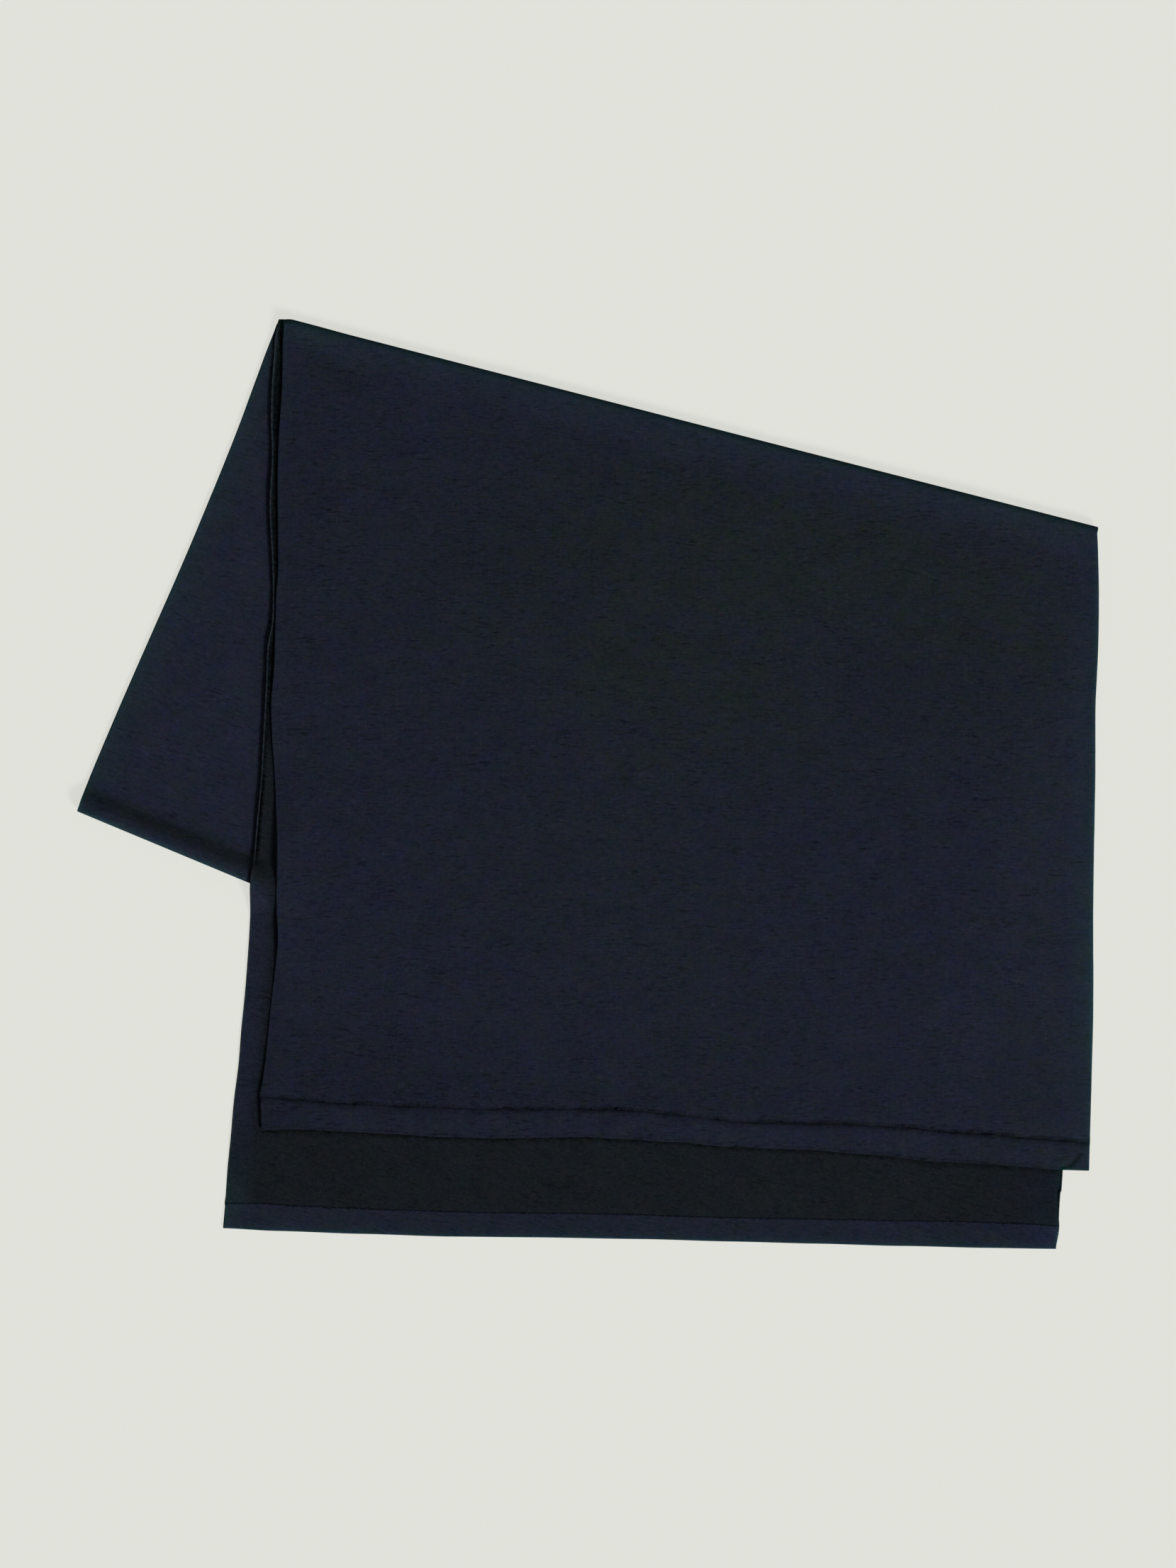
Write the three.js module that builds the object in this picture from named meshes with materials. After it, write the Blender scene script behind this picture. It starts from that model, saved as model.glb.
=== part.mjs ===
// A large fine-knit wool scarf, laid flat and folded as it is shown.
// The strip is doubled: its middle makes the fold at the end of the flap, and its two hemmed ends
// come together. The doubled strip is then turned over a slanting top fold, so that four layers lie
// on each other. From below they are the under flap, the upper flap, the back panel and the front
// panel. The flap shows to the left of the panels, and the back panel shows below the front one.
// Along the strip the order is: front hem, front panel, top fold, under flap, end fold, upper flap,
// top fold again inside the first, back panel, back hem.
// Millimetres. The scarf lies on z = 0, +Y runs up the picture and +Z points at the eye. The
// group's origin is the middle of the scarf's outline, on the surface that it lies on.

import * as THREE from "three";

// The cloth
const CLOTH_THICKNESS = 1.0;
const LAYER_GAP = 0.5; // air between two layers that lie on each other
const LAYER_PITCH = CLOTH_THICKNESS + LAYER_GAP;
const SEAM_GAP = 0.3; // between the cloth and a hem band, along the stitched seam
const CLOTH_COLOUR = new THREE.Color().setRGB(0.0115, 0.0145, 0.0225, THREE.LinearSRGBColorSpace);
const CLOTH_ROUGHNESS = 0.95;

// How finely the sheets are divided
const COLUMNS = 26;
const FRONT_ROWS = 24;
const BACK_ROWS = 27;
const FLAP_ROWS = 5;
const HEM_ROWS = 2;
const TOP_FOLD_STEPS = 6;
const END_FOLD_STEPS = 5;
const INNER_FOLD_STEPS = 4;
const HEM_FOLD_STEPS = 4;

// How the cloth lies down beside the two layers of the flap, measured out from the flap's edge
const SETTLE_START = 10;
const SETTLE_END = 95;
// How the front panel rises onto its turned-under hem, measured up from the seam
const HEM_RISE_START = 4;
const HEM_RISE_END = 64;

// The soft roll at the end of the flap, where nothing lies on it
const ROLL_LIFT = 5.5; // height of the crest above the flat flap
const ROLL_CREST = 5; // how far in from the end fold the crest is
const ROLL_FOOT = 21; // how far in the flap is flat again
const ROLL_INSETS = [0, 3, 7, 11, 15, 21]; // rows across it, measured in from the end fold
const ROLL_FADE_START = 75; // along the end fold, from the left corner
const ROLL_FADE_END = 118;
const END_DRAW_DEPTH = 40; // how much of the flap is drawn in by the end fold's depth

// Where each panel's left and right edges lie, seen from above. A row is one section across the
// strip, and bow is how far its middle lies above the straight line between its ends.
const FRONT_PANEL = [
  { left: [-235.6, -225.4], right: [361.0, -258.8], bow: 3.0 }, // the front seam
  { left: [-228.0, -158.0], right: [361.8, -205.6], bow: 1.5 },
  { left: [-223.4, -109.0], right: [362.4, -166.9], bow: 0.5 },
  { left: [-223.4, -48.0], right: [363.0, -118.7], bow: 0 },
  { left: [-228.0, 49.0], right: [363.6, -42.0], bow: 0 },
  { left: [-225.4, 105.0], right: [364.2, 2.2], bow: 0 },
  { left: [-223.4, 161.0], right: [365.0, 46.5], bow: 0 },
  { left: [-223.4, 207.0], right: [366.2, 82.8], bow: 0 },
  { left: [-220.3, 281.5], right: [367.2, 141.7], bow: 0 },
  { left: [-217.8, 333.3], right: [366.6, 183.3], bow: 0 }, // the top fold
];
const BACK_PANEL = [
  { left: [-260.6, -301.1], right: [338.6, -317.5], bow: 0 }, // the back seam
  { left: [-250.9, -202.0], right: [343.4, -239.4], bow: 0 },
  { left: [-242.8, -100.0], right: [347.6, -159.1], bow: 0 },
  { left: [-242.3, -72.0], right: [348.8, -137.0], bow: 0 },
  { left: [-233.6, 44.0], right: [353.6, -45.6], bow: 0 },
  { left: [-226.4, 120.0], right: [356.8, 14.2], bow: 0 },
  { left: [-228.2, 197.0], right: [360.0, 74.9], bow: 0 },
  { left: [-226.2, 248.0], right: [362.2, 115.1], bow: 0 },
  { left: [-221.6, 334.2], right: [365.8, 183.4], bow: 0 }, // the top fold
];
const FLAP = [
  { left: [-367.2, -19.4], right: [186.7, -250.0], bow: 0 }, // the end fold
  { left: [-337.6, 53.0], right: [223.5, -161.3], bow: 0 },
  { left: [-292.7, 155.0], right: [275.3, -36.4], bow: 0 },
  { left: [-250.9, 257.0], right: [327.2, 88.7], bow: 0 },
  { left: [-221.9, 334.3], right: [366.3, 183.3], bow: 0 }, // the top fold
];
// Where the two ends are turned over
const FRONT_HEM_END = { left: [-234.6, -249.7], right: [360.1, -278.0], bow: 4.5 };
const BACK_HEM_END = { left: [-261.6, -319.3], right: [336.6, -334.1], bow: -1.0 };

// Heights of the middle of each layer over the surface, where it lies flat
const HALF_CLOTH = CLOTH_THICKNESS / 2;
const UNDER_FLAP_HEIGHT = HALF_CLOTH;
const UPPER_FLAP_HEIGHT = UNDER_FLAP_HEIGHT + LAYER_PITCH;
const BACK_PANEL_HEIGHT = HALF_CLOTH;
const FRONT_PANEL_HEIGHT = BACK_PANEL_HEIGHT + LAYER_PITCH;
const FLAP_STACK = 2 * LAYER_PITCH; // what the two layers of the flap lift the panels by

// How far the middle of the cloth reaches past the start of each fold
const INNER_FOLD_REACH = LAYER_PITCH / 2;
const OUTER_FOLD_REACH = (3 * LAYER_PITCH) / 2;
const END_FOLD_REACH = 0.9; // under the panels
const ROLL_FOLD_REACH = 3.0; // where the roll is
const HEM_FOLD_REACH = LAYER_PITCH / 2;

const UP = new THREE.Vector3(0, 0, 1);
const FACING_UP = 1; // the cloth's right side is on top
const FACING_DOWN = -1;

/** A point of a section table as a flat vector. */
function flatPoint([x, y]) {
  return new THREE.Vector2(x, y);
}

/** The unit vector square to a section, pointing down the picture, away from the top fold. */
function squareTo(section) {
  const along = flatPoint(section.right).sub(flatPoint(section.left)).normalize();
  return new THREE.Vector2(along.y, -along.x);
}

/** A section moved sideways by a distance along a direction. */
function moved(section, direction, distance) {
  const shift = ([x, y]) => [x + direction.x * distance, y + direction.y * distance];
  return { left: shift(section.left), right: shift(section.right), bow: section.bow };
}

/** How far a point lies past a section, in the direction square to it. */
function distancePast(section, x, y) {
  const [leftX, leftY] = section.left;
  const square = squareTo(section);
  return (x - leftX) * square.x + (y - leftY) * square.y;
}

const END_SECTION = FLAP[0];
const TOP_SECTION = FLAP[FLAP.length - 1];
const FRONT_SEAM = FRONT_PANEL[0];
const BACK_SEAM = BACK_PANEL[0];
const DOWN_FROM_TOP = squareTo(TOP_SECTION);
const DOWN_FROM_END = squareTo(END_SECTION);
const END_ALONG = flatPoint(END_SECTION.right).sub(flatPoint(END_SECTION.left)).normalize();
const FLAP_RIGHT_EDGE = { left: END_SECTION.right, right: TOP_SECTION.right };

/** 1 over the flap, falling smoothly to 0 where the cloth beside it lies down. */
function onFlap(x, y) {
  const pastEnd = distancePast(END_SECTION, x, y);
  const pastRight = distancePast(FLAP_RIGHT_EDGE, x, y);
  return 1 - THREE.MathUtils.smoothstep(Math.max(pastEnd, pastRight), SETTLE_START, SETTLE_END);
}

/** 1 along the end fold where the roll is, falling to 0 where the panels press the fold flat. */
function rollShare(x, y) {
  const along = flatPoint([x, y]).sub(flatPoint(END_SECTION.left)).dot(END_ALONG);
  return 1 - THREE.MathUtils.smoothstep(along, ROLL_FADE_START, ROLL_FADE_END);
}

/** How far the soft roll lifts the upper flap. */
function rollLift(x, y) {
  const inset = -distancePast(END_SECTION, x, y);
  const slope = 1 - THREE.MathUtils.smoothstep(inset, ROLL_CREST, ROLL_FOOT);
  return ROLL_LIFT * slope * rollShare(x, y);
}

/** How far the middle of the cloth reaches at the end fold. */
function endFoldReach(x, y) {
  return THREE.MathUtils.lerp(END_FOLD_REACH, ROLL_FOLD_REACH, rollShare(x, y));
}

/** A point of the flap drawn in near the end fold, by the depth of the fold. */
function drawnInAtEnd(point) {
  const inset = -distancePast(END_SECTION, point.x, point.y);
  const share = 1 - THREE.MathUtils.smoothstep(inset, 0, END_DRAW_DEPTH);
  const depth = (endFoldReach(point.x, point.y) + HALF_CLOTH) * share;
  return point.clone().addScaledVector(DOWN_FROM_END, -depth);
}

const underFlapHeight = () => UNDER_FLAP_HEIGHT;
const upperFlapHeight = (x, y) => UPPER_FLAP_HEIGHT + rollLift(x, y);
const backPanelHeight = (x, y) => BACK_PANEL_HEIGHT + FLAP_STACK * onFlap(x, y);
const turnedBackHemHeight = (x, y) => backPanelHeight(x, y) + LAYER_PITCH;
const turnedFrontHemHeight = (x, y) => FRONT_PANEL_HEIGHT + FLAP_STACK * onFlap(x, y);
const outerFrontHemHeight = (x, y) => turnedFrontHemHeight(x, y) + LAYER_PITCH;

/** The front panel lies on the back panel and rises onto its own hem near the seam. */
function frontPanelHeight(x, y) {
  const aboveSeam = -distancePast(FRONT_SEAM, x, y);
  const rise = 1 - THREE.MathUtils.smoothstep(aboveSeam, HEM_RISE_START, HEM_RISE_END);
  return turnedFrontHemHeight(x, y) + LAYER_PITCH * rise;
}

/** Evenly spaced fractions from 0 to 1. */
function evenSteps(count) {
  return Array.from({ length: count + 1 }, (_, step) => step / count);
}

/**
 * Rows of points over one panel. Each point has a place in the middle of the cloth and the
 * direction in which the right side of the cloth faces.
 * @param sections the panel's section table, in the order in which the strip runs
 * @param fractions where the rows are, as fractions of the way along the panel's edges
 * @param heightAt the height of the middle of the cloth at x, y
 * @param facing FACING_UP or FACING_DOWN
 * @param drawnIn moves a flat point of the panel
 */
function panelRows(sections, fractions, heightAt, facing, drawnIn = (point) => point) {
  const leftEdge = new THREE.SplineCurve(sections.map((section) => flatPoint(section.left)));
  const rightEdge = new THREE.SplineCurve(sections.map((section) => flatPoint(section.right)));
  const bows = new THREE.SplineCurve(
    sections.map((section, index) => new THREE.Vector2(index, section.bow)),
  );
  return fractions.map((fraction) => {
    const left = leftEdge.getPointAt(fraction);
    const right = rightEdge.getPointAt(fraction);
    const bow = bows.getPoint(fraction).y;
    return evenSteps(COLUMNS).map((across) => {
      const flat = left.clone().lerp(right, across);
      flat.y += bow * 4 * across * (1 - across);
      const { x, y } = drawnIn(flat);
      return {
        place: new THREE.Vector3(x, y, heightAt(x, y)),
        facing: UP.clone().multiplyScalar(facing),
      };
    });
  });
}

/**
 * The rows between two layers where the cloth turns over, on half an ellipse.
 * @param fromRow the last row of one panel
 * @param toRow the first row of the next, above or below it
 * @param outward the flat direction in which the fold bulges
 * @param reachAt how far the middle of the cloth bulges at x, y
 * @param steps how many strips the turn is made of
 * @param rightSideOut whether the right side of the cloth is outside the turn
 */
function foldRows(fromRow, toRow, outward, reachAt, steps, rightSideOut) {
  const out = new THREE.Vector3(outward.x, outward.y, 0);
  const side = rightSideOut ? 1 : -1;
  return evenSteps(steps)
    .slice(1, -1)
    .map((fraction) => {
      const turn = (fraction - 0.5) * Math.PI;
      return fromRow.map((from, column) => {
        const to = toRow[column];
        const halfHeight = (to.place.z - from.place.z) / 2;
        const reach = reachAt(from.place.x, from.place.y);
        const place = from.place.clone().lerp(to.place, fraction);
        place.z = from.place.z + halfHeight * (1 + Math.sin(turn));
        place.addScaledVector(out, reach * Math.cos(turn));
        const facing = out
          .clone()
          .multiplyScalar(Math.cos(turn) / reach)
          .addScaledVector(UP, Math.sin(turn) / halfHeight)
          .normalize()
          .multiplyScalar(side);
        return { place, facing };
      });
    });
}

/** A closed sheet of cloth through rows of points: a divided box whose points are moved. */
function sheetThrough(rows) {
  const steps = rows.length - 1;
  const geometry = new THREE.BoxGeometry(1, 1, 1, COLUMNS, 1, steps);
  const position = geometry.getAttribute("position");
  for (let index = 0; index < position.count; index += 1) {
    const column = Math.round((position.getX(index) + 0.5) * COLUMNS);
    const row = Math.round((0.5 - position.getZ(index)) * steps);
    const side = Math.sign(position.getY(index));
    const { place, facing } = rows[row][column];
    const { x, y, z } = place.clone().addScaledVector(facing, side * HALF_CLOTH);
    position.setXYZ(index, x, y, z);
  }
  geometry.computeVertexNormals();
  return geometry;
}

/** A named piece of cloth with a material of its own. */
function clothPiece(name, rows) {
  const material = new THREE.MeshStandardMaterial({
    color: CLOTH_COLOUR,
    roughness: CLOTH_ROUGHNESS,
    metalness: 0,
  });
  const piece = new THREE.Mesh(sheetThrough(rows), material);
  piece.name = name;
  return piece;
}

/** A panel's table with its last section drawn back from the top fold by the depth of the fold. */
function drawnBackFromTop(sections) {
  const last = sections[sections.length - 1];
  const fold = moved(last, DOWN_FROM_TOP, OUTER_FOLD_REACH + HALF_CLOTH);
  return [...sections.slice(0, -1), fold];
}

/** The long piece: both panels and both layers of the flap, in one strip. */
function scarfCloth() {
  const flapSections = drawnBackFromTop(FLAP);
  const frontSections = drawnBackFromTop(FRONT_PANEL);
  const backSections = drawnBackFromTop(BACK_PANEL);
  const flapLength = flatPoint(TOP_SECTION.left).distanceTo(flatPoint(END_SECTION.left));
  const rollFractions = ROLL_INSETS.map((inset) => inset / flapLength);
  const flatFractions = evenSteps(FLAP_ROWS).slice(1);

  const front = panelRows(frontSections, evenSteps(FRONT_ROWS), frontPanelHeight, FACING_UP);
  const under = panelRows(
    flapSections,
    [0, ...flatFractions],
    underFlapHeight,
    FACING_DOWN,
    drawnInAtEnd,
  ).reverse();
  const upper = panelRows(
    flapSections,
    [...rollFractions, ...flatFractions],
    upperFlapHeight,
    FACING_UP,
    drawnInAtEnd,
  );
  const back = panelRows(backSections, evenSteps(BACK_ROWS), backPanelHeight, FACING_DOWN).reverse();

  const upFromTop = DOWN_FROM_TOP.clone().negate();
  const last = (rows) => rows[rows.length - 1];
  const outerReach = () => OUTER_FOLD_REACH;
  const innerReach = () => INNER_FOLD_REACH;
  return clothPiece("scarf_cloth", [
    ...front,
    ...foldRows(last(front), under[0], upFromTop, outerReach, TOP_FOLD_STEPS, true),
    ...under,
    ...foldRows(last(under), upper[0], DOWN_FROM_END, endFoldReach, END_FOLD_STEPS, true),
    ...upper,
    ...foldRows(last(upper), back[0], upFromTop, innerReach, INNER_FOLD_STEPS, false),
    ...back,
  ]);
}

/**
 * A hem band: the end of the strip, turned over and stitched down along the seam.
 * @param name the piece's name
 * @param seam the section where it meets the cloth
 * @param end the section where the cloth is turned over
 * @param lowerHeight the height of its lower layer at x, y
 * @param upperHeight the height of its upper layer at x, y
 */
function hemBand(name, seam, end, lowerHeight, upperHeight) {
  const outward = squareTo(end);
  const sections = [
    moved(seam, squareTo(seam), SEAM_GAP),
    moved(end, outward, -(HEM_FOLD_REACH + HALF_CLOTH)),
  ];
  const fractions = evenSteps(HEM_ROWS);
  const lower = panelRows(sections, fractions, lowerHeight, FACING_DOWN);
  const upper = panelRows(sections, fractions, upperHeight, FACING_UP).reverse();
  return clothPiece(name, [
    ...lower,
    ...foldRows(lower[HEM_ROWS], upper[0], outward, () => HEM_FOLD_REACH, HEM_FOLD_STEPS, true),
    ...upper,
  ]);
}

const scarf = new THREE.Group();
scarf.add(
  scarfCloth(),
  hemBand("front_hem", FRONT_SEAM, FRONT_HEM_END, turnedFrontHemHeight, outerFrontHemHeight),
  hemBand("back_hem", BACK_SEAM, BACK_HEM_END, backPanelHeight, turnedBackHemHeight),
);

// The origin goes to the middle of the outline.
const outline = new THREE.Box3().setFromObject(scarf);
const middle = outline.getCenter(new THREE.Vector3());
scarf.position.set(-middle.x, -middle.y, 0);

export default scarf;
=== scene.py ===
"""A large fine-knit wool scarf in dark navy, laid flat and folded in four layers.

The strip is doubled, and the doubled strip is turned over a slanting top fold. From the surface up
the layers are the under flap, the upper flap, the back panel and the front panel. Tables and sizes
are in millimetres on the scarf as it is seen from above, with +Y up the picture.
"""

from __future__ import annotations

import logging
import math
from bisect import bisect_right
from collections.abc import Callable, Sequence
from dataclasses import dataclass, field
from enum import Enum

import bmesh
import bpy
from mathutils import Matrix, Vector, noise


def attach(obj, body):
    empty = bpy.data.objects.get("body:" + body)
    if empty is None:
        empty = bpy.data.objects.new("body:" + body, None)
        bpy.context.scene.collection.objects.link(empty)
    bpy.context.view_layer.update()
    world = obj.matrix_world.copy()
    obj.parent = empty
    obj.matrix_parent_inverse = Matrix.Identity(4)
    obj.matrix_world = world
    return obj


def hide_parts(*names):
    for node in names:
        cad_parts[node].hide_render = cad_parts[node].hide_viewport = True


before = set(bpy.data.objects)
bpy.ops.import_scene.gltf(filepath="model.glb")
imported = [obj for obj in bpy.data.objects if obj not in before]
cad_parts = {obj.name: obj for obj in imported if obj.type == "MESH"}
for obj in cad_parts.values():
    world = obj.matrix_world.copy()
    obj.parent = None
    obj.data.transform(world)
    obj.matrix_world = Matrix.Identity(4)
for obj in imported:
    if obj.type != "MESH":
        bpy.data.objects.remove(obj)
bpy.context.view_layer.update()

MM = 0.001
LOG = logging.getLogger("scarf")

CLOTH_THICKNESS = 1.0
HALF_CLOTH = CLOTH_THICKNESS / 2
LAYER_PITCH = 1.5
EDGE_REACH = 40.0
CREASE_WIDTH = 1.6
# The attributes that the materials read: a painted highlight along edges, hue, tone with painted shade and
# highlights, the margin's colour, and painted crease shade
SHADING = (
    "edge_light", "edge_close", "edge_broad", "greener", "tone_and_painted_light", "bluer_margin", "crease",
)  # fmt: skip
UP = Vector((0.0, 0.0, 1.0))
ACROSS_HEM = Vector((0.0, 1.0, 0.0))
UP_FROM_TOP = Vector((0.2488, 0.9686, 0.0))
OUT_OF_END = Vector((-0.3844, -0.9232, 0.0))


class Side(Enum):
    """Which way the right side of the knit faces."""

    UP = 1
    DOWN = -1


class Slot(Enum):
    """The record's material slots."""

    CLOTH = "wool_jersey"
    HEM = "wool_jersey_hem"


class Layer(Enum):
    """A layer of the folded strip."""

    FRONT = "front panel"
    UNDER = "under flap"
    UPPER = "upper flap"
    BACK = "back panel"


def smooth(value: float, low: float, high: float) -> float:
    """A smooth step.

    Args:
        value: where to read it.
        low: where the step starts from 0.
        high: where it reaches 1.

    Returns:
        A number from 0 to 1.
    """
    share = min(max((value - low) / (high - low), 0.0), 1.0)
    return share * share * (3.0 - 2.0 * share)


def mix(a: float, b: float, share: float) -> float:
    """The value a share of the way from a to b."""
    return a + (b - a) * share


def bell(distance: float, width: float) -> float:
    """A bell curve: 1 in the middle, falling to a third at width."""
    return math.exp(-((distance / width) ** 2))


def unevenness(x: float, y: float, size: float, seed: float) -> float:
    """Smooth noise from about -1 to 1 that changes over a distance of size."""
    return noise.noise(Vector((x / size, y / size, seed)))


@dataclass(frozen=True)
class Path:
    """A smooth line through a few points, in the plane of the picture."""

    points: tuple[tuple[float, float], ...]

    def lengths(self) -> list[float]:
        """The distance along the line to each point.

        Returns:
            The distances, from 0.
        """
        total, found = 0.0, [0.0]
        for (ax, ay), (bx, by) in zip(self.points, self.points[1:]):
            total += math.hypot(bx - ax, by - ay)
            found.append(total)
        return found

    def at(self, share: float) -> Vector:
        """A point of the line.

        Args:
            share: how far along the line, from 0 to 1.

        Returns:
            The point, with z at 0.
        """
        lengths = self.lengths()
        target = min(max(share, 0.0), 1.0) * lengths[-1]
        index = min(max(bisect_right(lengths, target) - 1, 0), len(lengths) - 2)
        t = (target - lengths[index]) / (lengths[index + 1] - lengths[index])
        near = [self.points[min(max(index + step, 0), len(self.points) - 1)] for step in (-1, 0, 1, 2)]
        weights = (
            0.5 * (-t + 2 * t * t - t**3),
            0.5 * (2 - 5 * t * t + 3 * t**3),
            0.5 * (t + 4 * t * t - 3 * t**3),
            0.5 * (-t * t + t**3),
        )
        x = sum(weight * point[0] for weight, point in zip(weights, near))
        y = sum(weight * point[1] for weight, point in zip(weights, near))
        return Vector((x, y, 0.0))

    def y_at(self, x: float) -> float:
        """The height of a line that runs from left to right.

        Args:
            x: where, across the picture.

        Returns:
            How far up the picture it is at x.
        """
        xs = [point[0] for point in self.points]
        index = min(max(bisect_right(xs, x) - 1, 0), len(xs) - 2)
        share = min(max((x - xs[index]) / (xs[index + 1] - xs[index]), 0.0), 1.0)
        eased = share * share * (3.0 - 2.0 * share) * 0.5 + share * 0.5
        return mix(self.points[index][1], self.points[index + 1][1], eased)

    def x_at(self, y: float) -> float:
        """The place of a line that runs downwards.

        Args:
            y: where, up the picture.

        Returns:
            How far across the picture it is at y.
        """
        falls = [-point[1] for point in self.points]
        index = min(max(bisect_right(falls, -y) - 1, 0), len(falls) - 2)
        share = min(max((-y - falls[index]) / (falls[index + 1] - falls[index]), 0.0), 1.0)
        return mix(self.points[index][0], self.points[index + 1][0], share)

    def past(self, x: float, y: float) -> float:
        """How far a point lies below the straight line between the path's ends.

        Args:
            x: where, across the picture.
            y: where, up the picture.

        Returns:
            The distance, negative above the line.
        """
        (ax, ay), (bx, by) = self.points[0], self.points[-1]
        length = math.hypot(bx - ax, by - ay)
        return ((x - ax) * (by - ay) - (y - ay) * (bx - ax)) / length

    def along(self, x: float, y: float) -> float:
        """How far along the straight line between the path's ends a point lies.

        Args:
            x: where, across the picture.
            y: where, up the picture.

        Returns:
            The distance from the first end.
        """
        (ax, ay), (bx, by) = self.points[0], self.points[-1]
        length = math.hypot(bx - ax, by - ay)
        return ((x - ax) * (bx - ax) + (y - ay) * (by - ay)) / length

    def mirrored(self, x: float, y: float) -> tuple[float, float]:
        """A point mirrored over the straight line between the path's ends.

        Args:
            x: where, across the picture.
            y: where, up the picture.

        Returns:
            The x and y of the mirrored point.
        """
        (ax, ay), (bx, by) = self.points[0], self.points[-1]
        length = math.hypot(bx - ax, by - ay)
        past = self.past(x, y)
        return x - 2 * past * (by - ay) / length, y + 2 * past * (bx - ax) / length

    def distance(self, x: float, y: float) -> float:
        """The shortest distance from a point to the line.

        Args:
            x: where, across the picture.
            y: where, up the picture.

        Returns:
            The distance.
        """
        nearest = math.inf
        for (ax, ay), (bx, by) in zip(self.points, self.points[1:]):
            dx, dy = bx - ax, by - ay
            share = min(max(((x - ax) * dx + (y - ay) * dy) / (dx * dx + dy * dy), 0.0), 1.0)
            nearest = min(nearest, math.hypot(x - ax - share * dx, y - ay - share * dy))
        return nearest


# Folds and seams, from the left edge to the right one
TOP_FOLD = Path(((-221.9, 334.3), (366.3, 183.3)))
END_FOLD = Path(((-367.2, -19.4), (186.7, -250.0)))
FRONT_SEAM = Path(
    (
        (-235.9, -224.6), (-211.9, -226.8), (-178.7, -229.5), (-122.0, -231.8), (-65.9, -233.9),
        (-13.8, -233.4), (33.2, -234.4), (64.3, -237.5), (108.8, -242.6), (178.2, -243.9),
        (230.8, -246.7), (260.9, -250.2), (291.6, -251.8), (318.6, -254.8), (339.0, -255.8),
        (361.0, -258.1),
    )
)  # fmt: skip
FRONT_HEM_END = Path(
    (
        (-234.9, -249.2), (-211.4, -248.4), (-178.7, -249.9), (-139.9, -251.9), (-107.2, -254.0),
        (-65.9, -255.0), (-3.6, -254.0), (25.5, -255.5), (64.3, -257.6), (103.7, -261.1),
        (152.7, -262.7), (210.9, -266.8), (243.6, -271.3), (291.6, -273.9), (342.1, -277.8),
        (360.5, -278.3),
    )
)  # fmt: skip
BACK_SEAM = Path(
    (
        (-261.2, -301.5), (-237.4, -301.5), (-211.4, -303.3), (-178.7, -304.8), (-139.9, -306.4),
        (-65.9, -308.4), (-7.1, -308.9), (38.3, -309.9), (83.7, -311.5), (138.4, -312.5),
        (260.9, -314.5), (309.4, -316.1), (339.0, -317.8),
    )
)  # fmt: skip
BACK_HEM_END = Path(
    (
        (-262.7, -319.9), (-224.2, -321.9), (-162.9, -324.0), (-101.6, -325.9), (-40.3, -326.5),
        (41.4, -327.8), (102.6, -329.5), (163.9, -331.0), (225.2, -332.6), (286.4, -334.1),
        (337.0, -334.8),
    )
)  # fmt: skip

# Side edges, from the top fold down
FRONT_LEFT = Path(
    (
        (-217.3, 333.3), (-218.5, 318.1), (-220.1, 281.9), (-222.1, 252.7), (-223.1, 222.6),
        (-223.1, 197.1), (-222.8, 156.2), (-224.2, 134.8), (-225.7, 83.7), (-227.7, 60.3),
        (-227.2, 34.2), (-225.2, 5.1), (-223.3, -43.9), (-223.9, -83.2), (-223.0, -109.3),
        (-224.7, -128.7), (-228.2, -158.3), (-231.0, -187.4), (-233.9, -212.9), (-236.5, -225.6),
    )
)  # fmt: skip
FRONT_RIGHT = Path(
    (
        (366.6, 183.3), (367.6, 155.2), (367.1, 104.2), (366.1, 78.6), (365.1, 53.1),
        (365.1, 2.0), (364.3, -49.0), (363.8, -100.1), (363.9, -159.0), (362.9, -202.2),
        (361.2, -259.1),
    )
)  # fmt: skip
BACK_LEFT = Path(
    (
        (-222.0, 334.2), (-224.3, 325.8), (-225.9, 306.4), (-227.5, 287.0), (-228.1, 262.5),
        (-227.5, 232.8), (-229.2, 198.1), (-227.1, 157.8), (-227.2, 117.9), (-230.6, 99.6),
        (-231.8, 70.0), (-235.4, 4.6), (-238.5, -29.1), (-241.0, -58.7), (-242.5, -70.5),
        (-243.5, -100.1), (-245.1, -125.6), (-247.1, -151.1), (-249.7, -176.7), (-251.7, -202.2),
        (-255.0, -227.7), (-257.2, -253.3), (-259.8, -278.8), (-261.2, -301.5),
    )
)  # fmt: skip
BACK_RIGHT = Path(
    ((365.8, 183.4), (357.0, 14.0), (348.0, -137.0), (342.0, -276.0), (340.0, -295.6), (339.0, -317.8))
)
FLAP_LEFT = Path(
    (
        (-222.8, 334.5), (-232.9, 308.4), (-251.5, 257.4), (-272.0, 206.3), (-293.5, 155.2),
        (-316.0, 104.2), (-338.4, 53.1), (-359.9, 2.0), (-367.2, -19.4),
    )
)  # fmt: skip
FLAP_RIGHT = Path(((366.3, 183.3), (327.2, 88.7), (275.3, -36.4), (223.5, -161.3), (186.7, -250.0)))
FLAP_RIGHT_LINE = Path(((186.7, -250.0), (366.3, 183.3)))
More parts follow.
